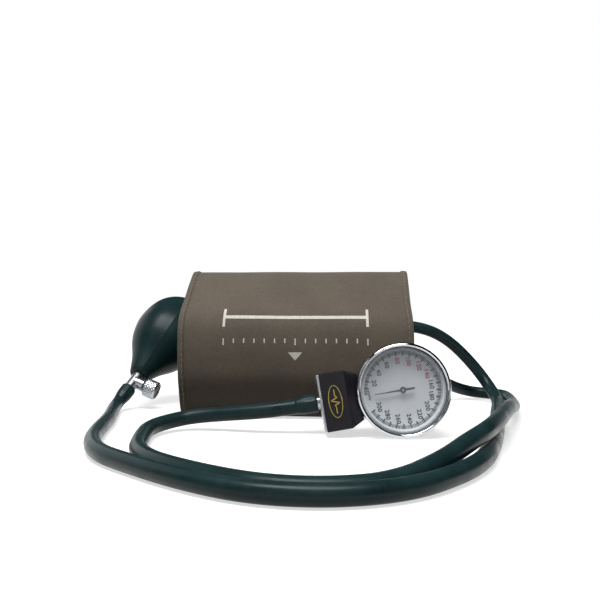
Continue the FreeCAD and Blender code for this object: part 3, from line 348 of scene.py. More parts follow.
def hem_loop(side):
    """The loop round a folded tape on one edge, as a function of the angle."""
    def loop(degrees):
        low = lining_depth(degrees) - TAPE
        inner = HALF_CUFF - HEM
        fold = HALF_CUFF - TAPE
        outside = [(inner, TAPE), (inner + 0.5, HEM_CREST), (HALF_CUFF - 1.2, TAPE + 0.1),
                   (HALF_CUFF - 0.3, 0.3), (HALF_CUFF, -0.5), (HALF_CUFF, low + 1),
                   (HALF_CUFF - 0.4, low + 0.2), (HALF_CUFF - 1.2, low), (inner, low)]
        inside = [(inner, low + TAPE), (fold, low + TAPE), (fold, SEWN_GAP), (inner, SEWN_GAP)]
        return [(side * x, out) for x, out in outside + inside][::side]
    return loop


# a stitch's rise over the cloth, in thread radii, at shares of its length
STITCH_RISE = [(0.0, -0.8), (0.18, 0.35), (0.5, 0.7), (0.82, 0.35), (1.0, -0.8)]
THREAD_RADIUS = 0.27 * MM


def thread_stitch(points, faces, start, end, rise):
    """One stitch: a short thread that dips into the cloth at both ends."""
    along = (end - start).normalized()
    across = along.cross(rise).normalized()
    first = len(points)
    sides = 6
    for share, lift in STITCH_RISE:
        centre = start.lerp(end, share) + rise * lift * THREAD_RADIUS
        for side in range(sides):
            angle = 2 * math.pi * side / sides
            points.append(centre + (across * math.cos(angle) + rise * math.sin(angle)) * THREAD_RADIUS)
    faces += ring_faces(first, len(STITCH_RISE), sides)


def mottled(name, patch, dark, light, detail=2.0, **values):
    """A material that clouds between two colours in patches of some mm; also its shader and the clouds."""
    material, shader = surface(name, **values)
    place = add(material, "ShaderNodeTexCoord", {})
    clouds = add(material, "ShaderNodeTexNoise", {"Vector": place.outputs["Object"],
                 "Scale": 1 / (patch * MM), "Detail": detail})
    shade = add(material, "ShaderNodeValToRGB", {"Fac": clouds.outputs["Fac"]})
    shade.color_ramp.elements[0].color = linear(dark)
    shade.color_ramp.elements[1].color = linear(light)
    material.node_tree.links.new(shade.outputs["Color"], shader.inputs["Base Color"])
    return material, shader, clouds.outputs["Fac"]


# spun polyester sewing thread: a little lighter and glossier than the cloth, uneven from ply to ply
sewing_thread = mottled("polyester_thread", 0.6, "#5f574a", "#786e5f", Roughness=0.55, Sheen_Weight=0.2)[0]

STITCH = 2.9
STITCH_PITCH = 3.5
STITCH_INSET = 2.9
# stitches are sewn where they show: along the outermost turn, and not under the roll
STITCHED_FROM = 252.0
STITCHED_TO = WRAP_END - 4
LEAST_HEIGHT = 1 * MM
for label, side in (("left", -1), ("right", 1)):
    hem = wound_strip(label + "_edge_hem", 0, WRAP_END, hem_loop(side), cuff_weave)
    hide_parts(label + "_edge_binding")
    points = []
    faces = []
    line = side * (HALF_CUFF - STITCH_INSET)
    pace = STITCH_PITCH / THREAD_RUN
    degrees = STITCHED_FROM
    while degrees < STITCHED_TO:
        start = on_wrap(degrees, HEM_CREST, line)
        end = on_wrap(degrees + pace * STITCH / STITCH_PITCH, HEM_CREST, line)
        rise = on_wrap(degrees, TAPE + 2, line) - on_wrap(degrees, TAPE, line)
        if start.z > LEAST_HEIGHT:
            thread_stitch(points, faces, start, end, rise.normalized())
        degrees += pace
    mesh_piece(label + "_edge_stitching", points, faces, sewing_thread)

# Printed range marks
# White screen print on the cloth: a plain bar that shows how far the cuff may be wound, a row of ticks
# and a pointer for the artery. It has no words.

# opaque white screen ink, a little worn where the weave stands up
screen_ink, shader = surface("white_screen_ink", Roughness=0.7)
place = add(screen_ink, "ShaderNodeTexCoord", {})
wear = add(screen_ink, "ShaderNodeTexNoise", {"Vector": place.outputs["Object"], "Scale": 1 / (1.3 * MM)})
shade = add(screen_ink, "ShaderNodeValToRGB", {"Fac": wear.outputs["Fac"]})
shade.color_ramp.elements[0].position = 0.35
shade.color_ramp.elements[0].color = linear("#c9c4b8")
shade.color_ramp.elements[1].color = linear("#e9e6de")
screen_ink.node_tree.links.new(shade.outputs["Color"], shader.inputs["Base Color"])

INK_RISE = 0.08


def print_patch(points, faces, corners):
    """Adds one printed four-cornered mark, whose corners are (angle, x), as a grid that follows the cloth."""
    first = len(points)
    steps = 8
    for row in range(steps + 1):
        for column in range(steps + 1):
            u = column / steps
            v = row / steps
            spot = [(1 - v) * ((1 - u) * corners[0][k] + u * corners[1][k])
                    + v * ((1 - u) * corners[3][k] + u * corners[2][k]) for k in (0, 1)]
            points.append(on_wrap(spot[0], INK_RISE, spot[1]))
    for row in range(steps):
        for column in range(steps):
            here = first + row * (steps + 1) + column
            faces.append((here, here + 1, here + steps + 2, here + steps + 1))


# the bar, its two ends and the ticks under it: where each begins and ends along the wrap
BAR = (420, 422.4)
BAR_END = (414.5, 428)
TICK = (436.5, 440)
LONG_TICK = (436.5, 441.5)
# and across it, in mm
RANGE_FROM = -45
RANGE_TO = 46
END_WIDTH = 1.6
TICK_WIDTH = 0.8
TICKS = 15
marks = [(*BAR, RANGE_FROM, RANGE_TO)]
for end in (RANGE_FROM, RANGE_TO - END_WIDTH):
    marks.append((*BAR_END, end, end + END_WIDTH))
for place in range(TICKS):
    tick = RANGE_FROM + TICK_WIDTH / 2 + (RANGE_TO - RANGE_FROM - END_WIDTH) * place / (TICKS - 1)
    marks.append((*(LONG_TICK if place % (TICKS // 2) == 0 else TICK), tick, tick + TICK_WIDTH))
ARTERY_POINTER = [(447, -4), (447, 5), (453, 0.7), (453, 0.3)]
points = []
faces = []
for top, foot, left, right in marks:
    print_patch(points, faces, [(top, left), (top, right), (foot, right), (foot, left)])
print_patch(points, faces, ARTERY_POINTER)
mesh_piece("cuff_range_print", points, faces, screen_ink)

# Tubes
# Two lengths of dipped rubber tube, 8.4 mm across, from the bladder's ports to the valve and the gauge.
# They are limp, lie on the floor in one wide loop, and the gauge's tube crosses over the bulb's.

# dipped natural rubber, dark green-black: a soft satin skin with a faint bloom and a broad highlight
dipped_rubber, shader = surface("dipped_natural_rubber", IOR=1.52, Specular_IOR_Level=0.16)
place = add(dipped_rubber, "ShaderNodeTexCoord", {})
bloom = add(dipped_rubber, "ShaderNodeTexNoise", {"Vector": place.outputs["Object"], "Scale": 1 / (16 * MM),
            "Detail": 5.0, "Roughness": 0.65})
pores = add(dipped_rubber, "ShaderNodeTexNoise", {"Vector": place.outputs["Object"], "Scale": 1 / (1.6 * MM),
            "Detail": 2.0})
shade = add(dipped_rubber, "ShaderNodeValToRGB", {"Fac": bloom.outputs["Fac"]})
shade.color_ramp.elements[0].position = 0.3
shade.color_ramp.elements[0].color = linear("#16282a")
shade.color_ramp.elements[1].position = 0.75
shade.color_ramp.elements[1].color = linear("#22393a")
gloss = add(dipped_rubber, "ShaderNodeMapRange", {"Value": bloom.outputs["Fac"], "From Min": 0.3,
            "From Max": 0.7, "To Min": 0.24, "To Max": 0.42})
relief = add(dipped_rubber, "ShaderNodeBump", {"Height": pores.outputs["Fac"], "Strength": 0.08,
             "Distance": 0.15 * MM})
dipped_rubber.node_tree.links.new(shade.outputs["Color"], shader.inputs["Base Color"])
dipped_rubber.node_tree.links.new(gloss.outputs["Result"], shader.inputs["Roughness"])
dipped_rubber.node_tree.links.new(relief.outputs["Normal"], shader.inputs["Normal"])


def dress(material, *names):
    """Gives the solids of these nodes a finish."""
    for name in names:
        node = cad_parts[name]
        node.data.materials.clear()
        node.data.materials.append(material)


# the bladder in the cuff's pocket is of the same rubber
dress(dipped_rubber, "bladder")

TUBE_RADIUS = 4.2
BULB_TUBE_ROUTE = [
    (62, *BULB_PORT), (77.4, *BULB_PORT), (96, 41, 53.8), (113, 47.5, 43.5), (130, 53.3, 26.3),
    (139, 46.5, 12.5), (141.6, 31, 4.3), (135.4, 2, 4.3), (127, -30, 4.3), (118.6, -66, 4.3),
    (109.6, -102, 4.3), (99.5, -137, 4.3), (89, -168, 4.3), (74, -193, 4.3), (53, -216, 4.3), (26, -226, 4.3),
    (-2, -223.5, 4.3), (-28, -209, 4.3), (-56, -186, 4.3), (-80, -163, 4.3), (-93, -137, 4.3),
    (-101, -106, 4.3), (-107.5, -73, 4.3), (-115.4, -43.5, 4.3), (-119.8, -29, 4.3), (-121.9, -20.3, 4.3),
]
GAUGE_TUBE_ROUTE = [
    (62, *GAUGE_PORT), (77.4, *GAUGE_PORT), (97, 41, 20), (113, 57, 11), (128, 69.5, 5.6), (139, 69.6, 4.4),
    (148.3, 63.2, 4.3), (152.6, 52.5, 4.3), (151, 35, 4.3), (147, 10, 4.3), (140.5, -18, 6.5),
    (131.5, -48, 11), (119.5, -84, 14), (106, -122, 14), (94, -150, 13.6), (82, -168, 11.5), (69, -183, 7),
    (48, -208, 4.4), (25, -216.8, 4.3), (1, -214.5, 4.3), (-23, -201, 4.3), (-50, -178.5, 4.3),
    (-64, -157, 4.3), (-70, -132, 4.3), (-75, -104, 4.6), (-68.5, -87.5, 5.7), (-54, -77.8, 7.8),
]
# how bulb and gauge are turned, in degrees
BULB_HEADING = 69.5
BULB_RISE = 36.6
BULB_TWIST = -62
GAUGE_YAW = 4
GAUGE_LEAN = 4.5
GAUGE_ROLL = 9.5
# how far the valve's collar and the gauge's nipple reach, and a tube's end on its barb, in mm
COLLAR = 13
NIPPLE_REACH = 46.1
NIPPLE_DEPTH = 18
BARB = 8.0
TAPER = 3.0


def shift(x, y, z):
    """A move, in mm."""
    return Matrix.Translation(Vector((x, y, z)))


def turn_about(axis, degrees):
    """A turn about one axis."""
    return Matrix.Rotation(math.radians(degrees), 4, axis)


# the places of bulb and gauge, and of the mouths that the tubes are pushed on to
BULB_FRAME = (shift(-114.2, 5, 22.2) @ turn_about("Z", BULB_HEADING) @ turn_about("Y", 90 - BULB_RISE)
              @ turn_about("Z", BULB_TWIST))
GAUGE_FRAME = (shift(62.2, -101, 25.7306) @ turn_about("Z", GAUGE_YAW) @ turn_about("X", 90 - GAUGE_LEAN)
               @ turn_about("Z", GAUGE_ROLL - 90))
VALVE_MOUTH = BULB_FRAME @ shift(0, 0, -COLLAR) @ turn_about("X", 180)
GAUGE_MOUTH = GAUGE_FRAME @ shift(0, -NIPPLE_REACH, -NIPPLE_DEPTH) @ turn_about("X", 90)


def turned_piece(name, profile, frame_matrix, material, sides=64, body="monitor", swell=None):
    """A piece turned about a frame's Z axis; the profile is a closed loop of (radius, height), in mm."""
    points = []
    for step in range(sides):
        angle = 2 * math.pi * step / sides
        for radius, height in profile:
            reach = radius + (swell(angle, radius, height) if swell else 0)
            spot = Vector((reach * math.cos(angle), reach * math.sin(angle), height))
            points.append(frame_matrix @ spot * MM)
    count = len(profile)
    faces = []
    for step in range(sides):
        here = step * count
        there = (step + 1) % sides * count
        for spot in range(count):
            after = (spot + 1) % count
            faces.append((here + spot, there + spot, there + after, here + after))
    return mesh_piece(name, points, faces, material, body)


# the folds' depth and number, and the radius from which the sleeve has them
CREASE = 0.2
CREASES = 11
CREASED_FROM = 4.4


def sleeve_creases(angle, radius, height):
    """Lengthwise folds of rubber stretched over a barb."""
    if radius < CREASED_FROM:
        return 0
    return CREASE * math.sin(CREASES * angle) * math.sin(min(height / BARB, 1) * math.pi)


SLEEVE = [(3.07, 0), (4.75, 0), (5.07, 0.35), (5.1, 1.5), (5.0, 4), (5.02, 6.5), (4.9, BARB), (4.6, 9.6),
          (4.3, TAPER + BARB), (4.2, TAPER + BARB + 1.5), (2.4, TAPER + BARB + 1.5), (3.07, BARB)]
# a tube runs straight for its lead, in mm, before its mouth; its length is in metres
for name, route, mouth, lead, length in (("bulb_tube", BULB_TUBE_ROUTE, VALVE_MOUTH, 3.3, 0.691),
                                         ("gauge_tube", GAUGE_TUBE_ROUTE, GAUGE_MOUTH, 16, 0.683)):
    line = bpy.data.curves.new(name + "_line", "CURVE")
    line.dimensions = "3D"
    line.bevel_depth = TUBE_RADIUS * MM
    line.bevel_resolution = 8
    line.resolution_u = 20
    line.use_fill_caps = True
    spline = line.splines.new("NURBS")
    ends = [mouth @ Vector((0, 0, BARB + TAPER + lead)), mouth @ Vector((0, 0, BARB + TAPER))]
    stops = [Vector(stop) for stop in route] + ends
    spline.points.add(len(stops) - 1)
    for control, stop in zip(spline.points, stops):
        control.co = (*(stop * MM), 1)
    spline.order_u = 3
    spline.use_endpoint_u = True
    line.materials.append(dipped_rubber)
    hose = bpy.data.objects.new(name + "_hose", line)
    bpy.context.scene.collection.objects.link(hose)
    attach(hose, "monitor")
    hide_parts(name)
    sleeve = turned_piece(name + "_sleeve", SLEEVE, mouth, dipped_rubber, swell=sleeve_creases)

# Bulb
# A hollow moulded rubber bulb, squeezed in the palm. Two halves of the mould leave a fine seam along it,
# and its neck is stretched over the valve's spigot.


def smooth_line(stops, steps):
    """A smooth line through stops, a few points for each gap."""
    ends = [2 * stops[0] - stops[1]] + stops + [2 * stops[-1] - stops[-2]]
    line = []
    for before, here, after, beyond in zip(ends, ends[1:], ends[2:], ends[3:]):
        for step in range(steps):
            t = step / steps
            line.append(0.5 * (2 * here + (after - before) * t
                               + (2 * before - 5 * here + 4 * after - beyond) * t ** 2
                               + (3 * here - before - 3 * after + beyond) * t ** 3))
    return line + [stops[-1]]


BULB_RADIUS = 25.4
BULB_LENGTH = 82
# the outside, as shares of the length and of the radius
BULB_SWELL = [(0.165, 0.51), (0.30, 0.77), (0.40, 0.91), (0.52, 0.995), (0.655, 0.985), (0.775, 0.90),
              (0.88, 0.70)]
BULB_WALL = 2.4
NECK = 6.82
NECK_BORE = 3.65
NECK_DEPTH = 8
TAIL = 8.6
TAIL_BORE = 5.1
TAIL_SEAT = BULB_LENGTH - 5
HOLLOW_LEAST = 3.7
belly = [Vector((share * BULB_RADIUS, along * BULB_LENGTH)) for along, share in BULB_SWELL]
outline = smooth_line([Vector((NECK, 0))] + belly + [Vector((TAIL, BULB_LENGTH))], 8)
neck_end = [(NECK_BORE, 0.3), (4.1, 0), (NECK - 0.5, 0), (NECK - 0.1, 0.3)]
tail_end = [(TAIL + 0.2, BULB_LENGTH - 0.4), (TAIL - 0.8, BULB_LENGTH), (TAIL_BORE, BULB_LENGTH),
            (TAIL_BORE, TAIL_SEAT)]
hollow = [(max(spot.x - BULB_WALL, HOLLOW_LEAST), spot.y) for spot in reversed(outline)
          if NECK_DEPTH < spot.y < TAIL_SEAT]
bulb_profile = (neck_end + [tuple(spot) for spot in outline[1:-1]] + tail_end + hollow
                + [(NECK_BORE, NECK_DEPTH)])
# the seam's rise and width, and the radius from which the bulb has it
SEAM = 0.22
SEAM_WIDTH = 1.0
SEAM_ANGLE = math.radians(100)
SEAMED_FROM = 7


def mould_seam(angle, radius, height):
    """A fine raised line on two sides of the bulb."""
    away = abs((angle - SEAM_ANGLE + math.pi / 2) % math.pi - math.pi / 2) * radius
    return SEAM * math.exp(-(away / SEAM_WIDTH) ** 2) if radius > SEAMED_FROM else 0


# moulded natural rubber, almost black with a green tone: smoother than the tubes, with a silky sheen from
# handling
moulded_rubber, shader = surface("moulded_natural_rubber", IOR=1.52, Specular_IOR_Level=0.15)
place = add(moulded_rubber, "ShaderNodeTexCoord", {})
handling = add(moulded_rubber, "ShaderNodeTexNoise", {"Vector": place.outputs["Object"],
               "Scale": 1 / (22 * MM), "Detail": 6.0, "Roughness": 0.6})
pits = add(moulded_rubber, "ShaderNodeTexNoise", {"Vector": place.outputs["Object"], "Scale": 1 / (1.2 * MM),
           "Detail": 2.0})
shade = add(moulded_rubber, "ShaderNodeValToRGB", {"Fac": handling.outputs["Fac"]})
shade.color_ramp.elements[0].position = 0.3
shade.color_ramp.elements[0].color = linear("#142628")
shade.color_ramp.elements[1].position = 0.75
shade.color_ramp.elements[1].color = linear("#1d3234")
gloss = add(moulded_rubber, "ShaderNodeMapRange", {"Value": handling.outputs["Fac"], "From Min": 0.3,
            "From Max": 0.7, "To Min": 0.26, "To Max": 0.4})
relief = add(moulded_rubber, "ShaderNodeBump", {"Height": pits.outputs["Fac"], "Strength": 0.06,
             "Distance": 0.15 * MM})
moulded_rubber.node_tree.links.new(shade.outputs["Color"], shader.inputs["Base Color"])
moulded_rubber.node_tree.links.new(gloss.outputs["Result"], shader.inputs["Roughness"])
moulded_rubber.node_tree.links.new(relief.outputs["Normal"], shader.inputs["Normal"])
bulb = turned_piece("bulb_moulded", bulb_profile, BULB_FRAME, moulded_rubber, 200,
                    swell=mould_seam)
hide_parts("bulb")

# Release valve and inlet valve
# Turned brass, plated with chrome: a collar between bulb and tube, with a knurled thumb screw at its side,
# and a plug with an air hole in the bulb's tail.

# polished chrome plate: a mirror with a slight blue-grey tone and a faint haze
chrome_plate, shader, haze = mottled("chrome_plate", 7, "#bfc3c8", "#d1d4d8", detail=4.0, Metallic=1.0,
                                     Roughness=0.09)
gloss = add(chrome_plate, "ShaderNodeMapRange", {"Value": haze, "From Min": 0.3, "From Max": 0.7,
            "To Min": 0.05, "To Max": 0.14})
chrome_plate.node_tree.links.new(gloss.outputs["Result"], shader.inputs["Roughness"])
dress(chrome_plate, "inlet_cage_ring", "outlet_seat")

# chrome plate that fingers have rubbed for years: greyer and duller, with soft reflections
rubbed_chrome, shader, rubbing = mottled("rubbed_chrome_plate", 2.2, "#a3a6aa", "#c6c9cc", detail=4.0,
                                         Metallic=1.0)
gloss = add(rubbed_chrome, "ShaderNodeMapRange", {"Value": rubbing, "From Min": 0.3, "From Max": 0.7,
            "To Min": 0.27, "To Max": 0.37})
rubbed_chrome.node_tree.links.new(gloss.outputs["Result"], shader.inputs["Roughness"])
dress(rubbed_chrome, "valve_body")

# satin nickel: a soft, slightly warm grey without clear reflections
satin_nickel = mottled("satin_nickel", 0.8, "#d2d1ce", "#e4e3e0", Metallic=1.0, Roughness=0.6)[0]
dress(satin_nickel, "inlet_housing")

# a near-black, dull metal for the knob's end: painted shade that darkens its end face
knob_end_shade_metal = mottled("near_black_knob_end_shade", 1.5, "#1c1b1a", "#33302c", Metallic=1.0, Roughness=0.5)[0]

SCREW_AXIS = Vector((0.925059, -0.04703, -0.3769))
KNOB_FRAME = shift(-115.887, 0.488, 18.623) @ SCREW_AXIS.to_track_quat("Z", "Y").to_matrix().to_4x4()
KNOB_RADIUS = 6.35
KNOB_RIM = [9.8 + 7.2 * step / 28 for step in range(29)]
KNOB = ([(1.5, 8), (4.3, 8), (6.1, 9.5)] + [(KNOB_RADIUS, height) for height in KNOB_RIM]
        + [(5.9, 17.5), (5.4, 18), (0.05, 18), (0.05, 16.6), (1.5, 16.6)])
KNURLS = 20
KNURL_PITCH = 2.2
KNURL_DEPTH = 0.32


def crossed_knurl(angle, radius, height):
    """Two sets of slanting grooves, 2 mm apart, rolled into the knob's rim."""
    if radius < KNOB_RADIUS:
        return 0
    lean = 2 * math.pi / KNURL_PITCH * height
    return -KNURL_DEPTH * max(math.cos(KNURLS * angle + lean), math.cos(KNURLS * angle - lean), 0) ** 2


knob = turned_piece("thumb_knob_knurled", KNOB, KNOB_FRAME, rubbed_chrome, 160, "knob",
                    crossed_knurl)
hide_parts("thumb_knob")
KNOB_END = [(0.05, 18.01), (4.5, 18.01), (5.3, 18.01), (5.3, 18.06), (5.1, 18.1), (4.9, 18.06), (4.4, 18.03),
            (0.05, 18.03)]
# a thin near-black disc laid on the chrome knob's end face: painted shade
turned_piece("thumb_knob_end", KNOB_END, KNOB_FRAME, knob_end_shade_metal, 48, body="knob")

# turned steel: darker than chrome, satin, with small dull patches
turned_steel = mottled("turned_steel", 2, "#8d8f92", "#b4b6b9", detail=3.0, Metallic=1.0, Roughness=0.3)[0]
dress(turned_steel, "release_needle", "inlet_ball", "outlet_ball")
dress(dipped_rubber, "seal_ring")

# Gauge case and movement
# A drawn cup, stoved black, holds the pressure capsule, the plates and the sector of brass. The bridge stands
# on pillars with a screw in each, and a steel clip is riveted to the cup's back.

# stoved black enamel: smooth, deep black with a soft gloss
black_enamel, shader, orange_peel = mottled("stoved_black_enamel", 2.5, "#17171b", "#222227", Roughness=0.32)
relief = add(black_enamel, "ShaderNodeBump", {"Height": orange_peel, "Strength": 0.05, "Distance": 0.1 * MM})
black_enamel.node_tree.links.new(relief.outputs["Normal"], shader.inputs["Normal"])
dress(black_enamel, "gauge_case", "pointer")

# turned brass: warm yellow, satin
turned_brass = mottled("turned_brass", 2, "#b8913f", "#d9b565", Metallic=1.0, Roughness=0.28)[0]
dress(turned_brass, "pressure_capsule", "movement_plate", "movement_bridge", "bridge_pillars", "sector_gear")
dress(turned_steel, "pointer_arbor", "hairspring", "bridge_screws", "hanging_clip", "clip_rivets")

# Dial
# A disc of white-enamelled metal with a printed scale, numbered every twenty from zero at the neck.
# The middle of the range is numbered in red.

# matt white stoving enamel on metal: pale cool grey-white, even
dial_enamel = mottled("white_dial_enamel", 9, "#e9ecf1", "#f1f3f6", Roughness=0.5)[0]
dress(dial_enamel, "dial_plate")

DIAL_FACE = -6.2
DIAL_PRINT = DIAL_FACE + 0.06
# degrees to a unit of pressure
SCALE_TURN = 334 / 300

# flat printing inks, slightly uneven where the print is thin
black_ink = mottled("black_dial_ink", 0.8, "#0e1013", "#111317", Roughness=0.6)[0]
red_ink = mottled("red_dial_ink", 0.8, "#b02a45", "#c6304f", Roughness=0.6)[0]


def dial_point(radius, pressure):
    """A point of the dial's print at a radius, on the line of a pressure; zero is at the neck."""
    angle = -math.pi / 2 - math.radians(pressure * SCALE_TURN)
    return Vector((radius * math.cos(angle), radius * math.sin(angle), DIAL_PRINT))


def scale_marks(name, pressures, inner, outer, width, material):
    """Printed scale lines at these pressures, all in one mesh."""
    points = []
    faces = []
    for pressure in pressures:
        first = len(points)
        for radius in (inner, outer):
            half = math.degrees(width / 2 / radius) / SCALE_TURN
            points.append(GAUGE_FRAME @ dial_point(radius, pressure - half) * MM)
            points.append(GAUGE_FRAME @ dial_point(radius, pressure + half) * MM)
        faces.append((first, first + 1, first + 3, first + 2))
    mesh_piece(name, points, faces, material)


MARKS_TO = 20.8
FINE_FROM = 19.0
FINE_WIDTH = 0.4
TEN_FROM = 18.2
TEN_WIDTH = 0.7
fine_marks = [pressure for pressure in range(2, 300, 2) if pressure % 10]
scale_marks("dial_fine_marks", fine_marks, FINE_FROM, MARKS_TO, FINE_WIDTH, black_ink)
scale_marks("dial_ten_marks", range(10, 301, 10), TEN_FROM, MARKS_TO, TEN_WIDTH, black_ink)

# a capital's share of a font's size, and how far ink spreads past the outline for each mm of height
CAPITAL = 0.7
INK_SPREAD = 0.045


def printed_words(name, words, height, spot, material):
    """Upright printed characters, centred on a spot of the dial, in mm."""
    text = bpy.data.curves.new(name, "FONT")
    text.body = words
    text.size = height * MM / CAPITAL
    text.align_x = "CENTER"
    text.align_y = "CENTER"
    text.space_character = 1.1
    text.offset = INK_SPREAD * height * MM
    written = bpy.data.objects.new(name, text)
    bpy.context.scene.collection.objects.link(written)
    written.matrix_world = Matrix.Translation(GAUGE_FRAME @ spot * MM) @ GAUGE_FRAME.to_3x3().to_4x4()
    text.materials.append(material)
    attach(written, "monitor")


NUMBERS_AT = 15.7
NUMBER_HEIGHT = 2.3
UNIT_AT = 18.2
UNIT_HEIGHT = 1.3
RED_NUMBERS = range(80, 141)
for number in range(20, 301, 20):
    name = "dial_number_%d" % number
    colour = red_ink if number in RED_NUMBERS else black_ink
    printed_words(name, str(number), NUMBER_HEIGHT, dial_point(NUMBERS_AT, number), colour)
printed_words("dial_unit", "mmHg", UNIT_HEIGHT, dial_point(UNIT_AT, 0), black_ink)

# Glass and bezel
# A flat mineral glass lies on the case's rim under a rolled, chrome-plated bezel ring, which grips the case.
# A white card ring fills the step between glass and dial.

# clear mineral glass: almost unseen face on, with a cool tone and faint smears where it was wiped
mineral_glass, shader = surface("mineral_glass", Base_Color=linear("#dfe8ee"), IOR=1.5, Alpha=0.1)
place = add(mineral_glass, "ShaderNodeTexCoord", {})
smears = add(mineral_glass, "ShaderNodeTexNoise", {"Vector": place.outputs["Object"], "Scale": 1 / (6 * MM),
             "Detail": 3.0})
gloss = add(mineral_glass, "ShaderNodeMapRange", {"Value": smears.outputs["Fac"], "From Min": 0.3,
            "From Max": 0.7, "To Min": 0.02, "To Max": 0.12})
mineral_glass.node_tree.links.new(gloss.outputs["Result"], shader.inputs["Roughness"])
dress(mineral_glass, "crystal")

CARD_RING = [(20.95, -6.15), (22.86, -6.15), (22.86, -2.9), (21.3, -3.1), (21.05, -3.35)]
turned_piece("dial_card_ring", CARD_RING, GAUGE_FRAME, dial_enamel, 160)
BEZEL = [(24.05, -7.5), (24.9, -7.5), (25.15, -7.3), (25.2, -7.0), (25.2, -1.6), (25.1, -1.0), (24.85, -0.5),
         (24.5, -0.15), (24.05, 0), (23.6, -0.12), (23.25, -0.45), (23.05, -0.85), (23.0, -1.2),
         (24.05, -1.2)]
bezel = turned_piece("bezel_rolled", BEZEL, GAUGE_FRAME, chrome_plate, 160)
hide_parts("bezel_ring")

# Gauge neck
# A moulded black block between the case and the tube, closed by a thin chrome end plate with the nipple,
# with a plain oval badge on its face.

# moulded ABS: black with a cool tone, satin, with a fine spark-eroded grain
moulded_abs, shader, grain = mottled("moulded_black_abs", 0.9, "#0d0b12", "#14111a", Roughness=0.38,
                                     Specular_IOR_Level=0.35)
relief = add(moulded_abs, "ShaderNodeBump", {"Height": grain, "Strength": 0.1, "Distance": 0.1 * MM})
moulded_abs.node_tree.links.new(relief.outputs["Normal"], shader.inputs["Normal"])
dress(moulded_abs, "neck_block", "badge")
dress(rubbed_chrome, "end_plate", "hose_nipple")


def soften(width, *names):
    """Rounds the sharp edges of these solids by a small width, in mm."""
    for name in names:
        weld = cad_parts[name].modifiers.new("weld", "WELD")
        weld.merge_threshold = 0.01 * MM
        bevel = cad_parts[name].modifiers.new("soft_edges", "BEVEL")
        bevel.width = width * MM
        bevel.segments = 3
        bevel.limit_method = "ANGLE"
        bevel.angle_limit = math.radians(35)
        bevel.harden_normals = True


soften(0.5, "neck_block")
soften(0.2, "end_plate", "badge")

# gilt print: thin warm gold, half gloss
gilt = mottled("gilt_print", 1.2, "#a08a3c", "#d2be6a", Metallic=1.0, Roughness=0.35)[0]

BADGE_FRAME = GAUGE_FRAME @ shift(0, -36.75, -4.0)
BADGE_HALF_WIDTH = 9.5
BADGE_HALF_HEIGHT = 4.5
RIM_INSETS = (0.75, 1.15)
GILT_RISE = 0.05
points = []
faces = []
sides = 72
for step in range(sides):
    angle = 2 * math.pi * step / sides
    for inset in RIM_INSETS:
        x = (BADGE_HALF_WIDTH - inset) * math.cos(angle)
        y = (BADGE_HALF_HEIGHT - inset) * math.sin(angle)
        points.append(BADGE_FRAME @ Vector((x, y, GILT_RISE)) * MM)
for step in range(sides):
    here = 2 * step
    there = 2 * ((step + 1) % sides)
    faces.append((here, there, there + 1, here + 1))
mesh_piece("badge_gilt_rim", points, faces, gilt)
PULSE = [(-6.4, 0), (-3.0, 0), (-2.0, 1.1), (-0.6, -2.3), (0.9, 2.2), (2.0, -0.6), (2.7, 0), (6.4, 0)]
PULSE_HALF_WIDTH = 0.28
pulse = [Vector((*spot, GILT_RISE)) for spot in PULSE]
points = []
faces = []
for start, end in zip(pulse, pulse[1:]):
    run = end - start
    side = Vector((-run.y, run.x, 0)).normalized() * PULSE_HALF_WIDTH
    first = len(points)
    points += [BADGE_FRAME @ spot * MM for spot in (start - side, start + side, end - side, end + side)]
    faces.append((first, first + 1, first + 3, first + 2))
mesh_piece("badge_gilt_pulse", points, faces, gilt)

# Floor, light and camera
# A white paper sheet that still takes a soft shadow, under a wide soft light, with weaker ones in front and
# behind and a narrow one on the dial. Sheet and air are white to the eye and in mirrors, but throw little
# light back, as in a dark studio.


def seen_share(owner):
    """One where the eye, a mirror or a glass looks, and zero where only light is thrown back."""
    ray = add(owner, "ShaderNodeLightPath", {})
    eye = add(owner, "ShaderNodeMath", {0: ray.outputs["Is Camera Ray"], 1: ray.outputs["Is Glossy Ray"]},
              operation="MAXIMUM")
    seen = add(owner, "ShaderNodeMath", {0: eye.outputs["Value"], 1: ray.outputs["Is Transmission Ray"]},
               operation="MAXIMUM")
    return seen.outputs["Value"]


# white paper, matt: it shows a shadow near the object and is plain white farther off
white_sheet, shader = surface("white_paper_sheet", Roughness=0.9, Specular_IOR_Level=0.0,
                              Emission_Color=(1, 1, 1, 1))
seen = seen_share(white_sheet)
place = add(white_sheet, "ShaderNodeTexCoord", {})
far = add(white_sheet, "ShaderNodeVectorMath", {0: place.outputs["Object"]}, operation="LENGTH")
fade = add(white_sheet, "ShaderNodeMapRange", {"Value": far.outputs["Value"], "From Min": 0.25,
           "From Max": 0.9, "To Min": 0.62, "To Max": 1.0}, interpolation_type="SMOOTHSTEP")
glow = add(white_sheet, "ShaderNodeMath", {0: seen, 1: fade.outputs["Result"]}, operation="MULTIPLY")
paper = add(white_sheet, "ShaderNodeMapRange", {"Value": seen, "To Min": 0.05, "To Max": 0.6})
white_sheet.node_tree.links.new(glow.outputs["Value"], shader.inputs["Emission Strength"])
white_sheet.node_tree.links.new(paper.outputs["Result"], shader.inputs["Base Color"])
mesh = bpy.data.meshes.new("floor")
mesh.from_pydata([(-6, -6, 0), (6, -6, 0), (6, 6, 0), (-6, 6, 0)], [], [(0, 1, 2, 3)])
mesh.materials.append(white_sheet)
floor = bpy.data.objects.new("floor", mesh)
floor.location.z = -0.0002
bpy.context.scene.collection.objects.link(floor)

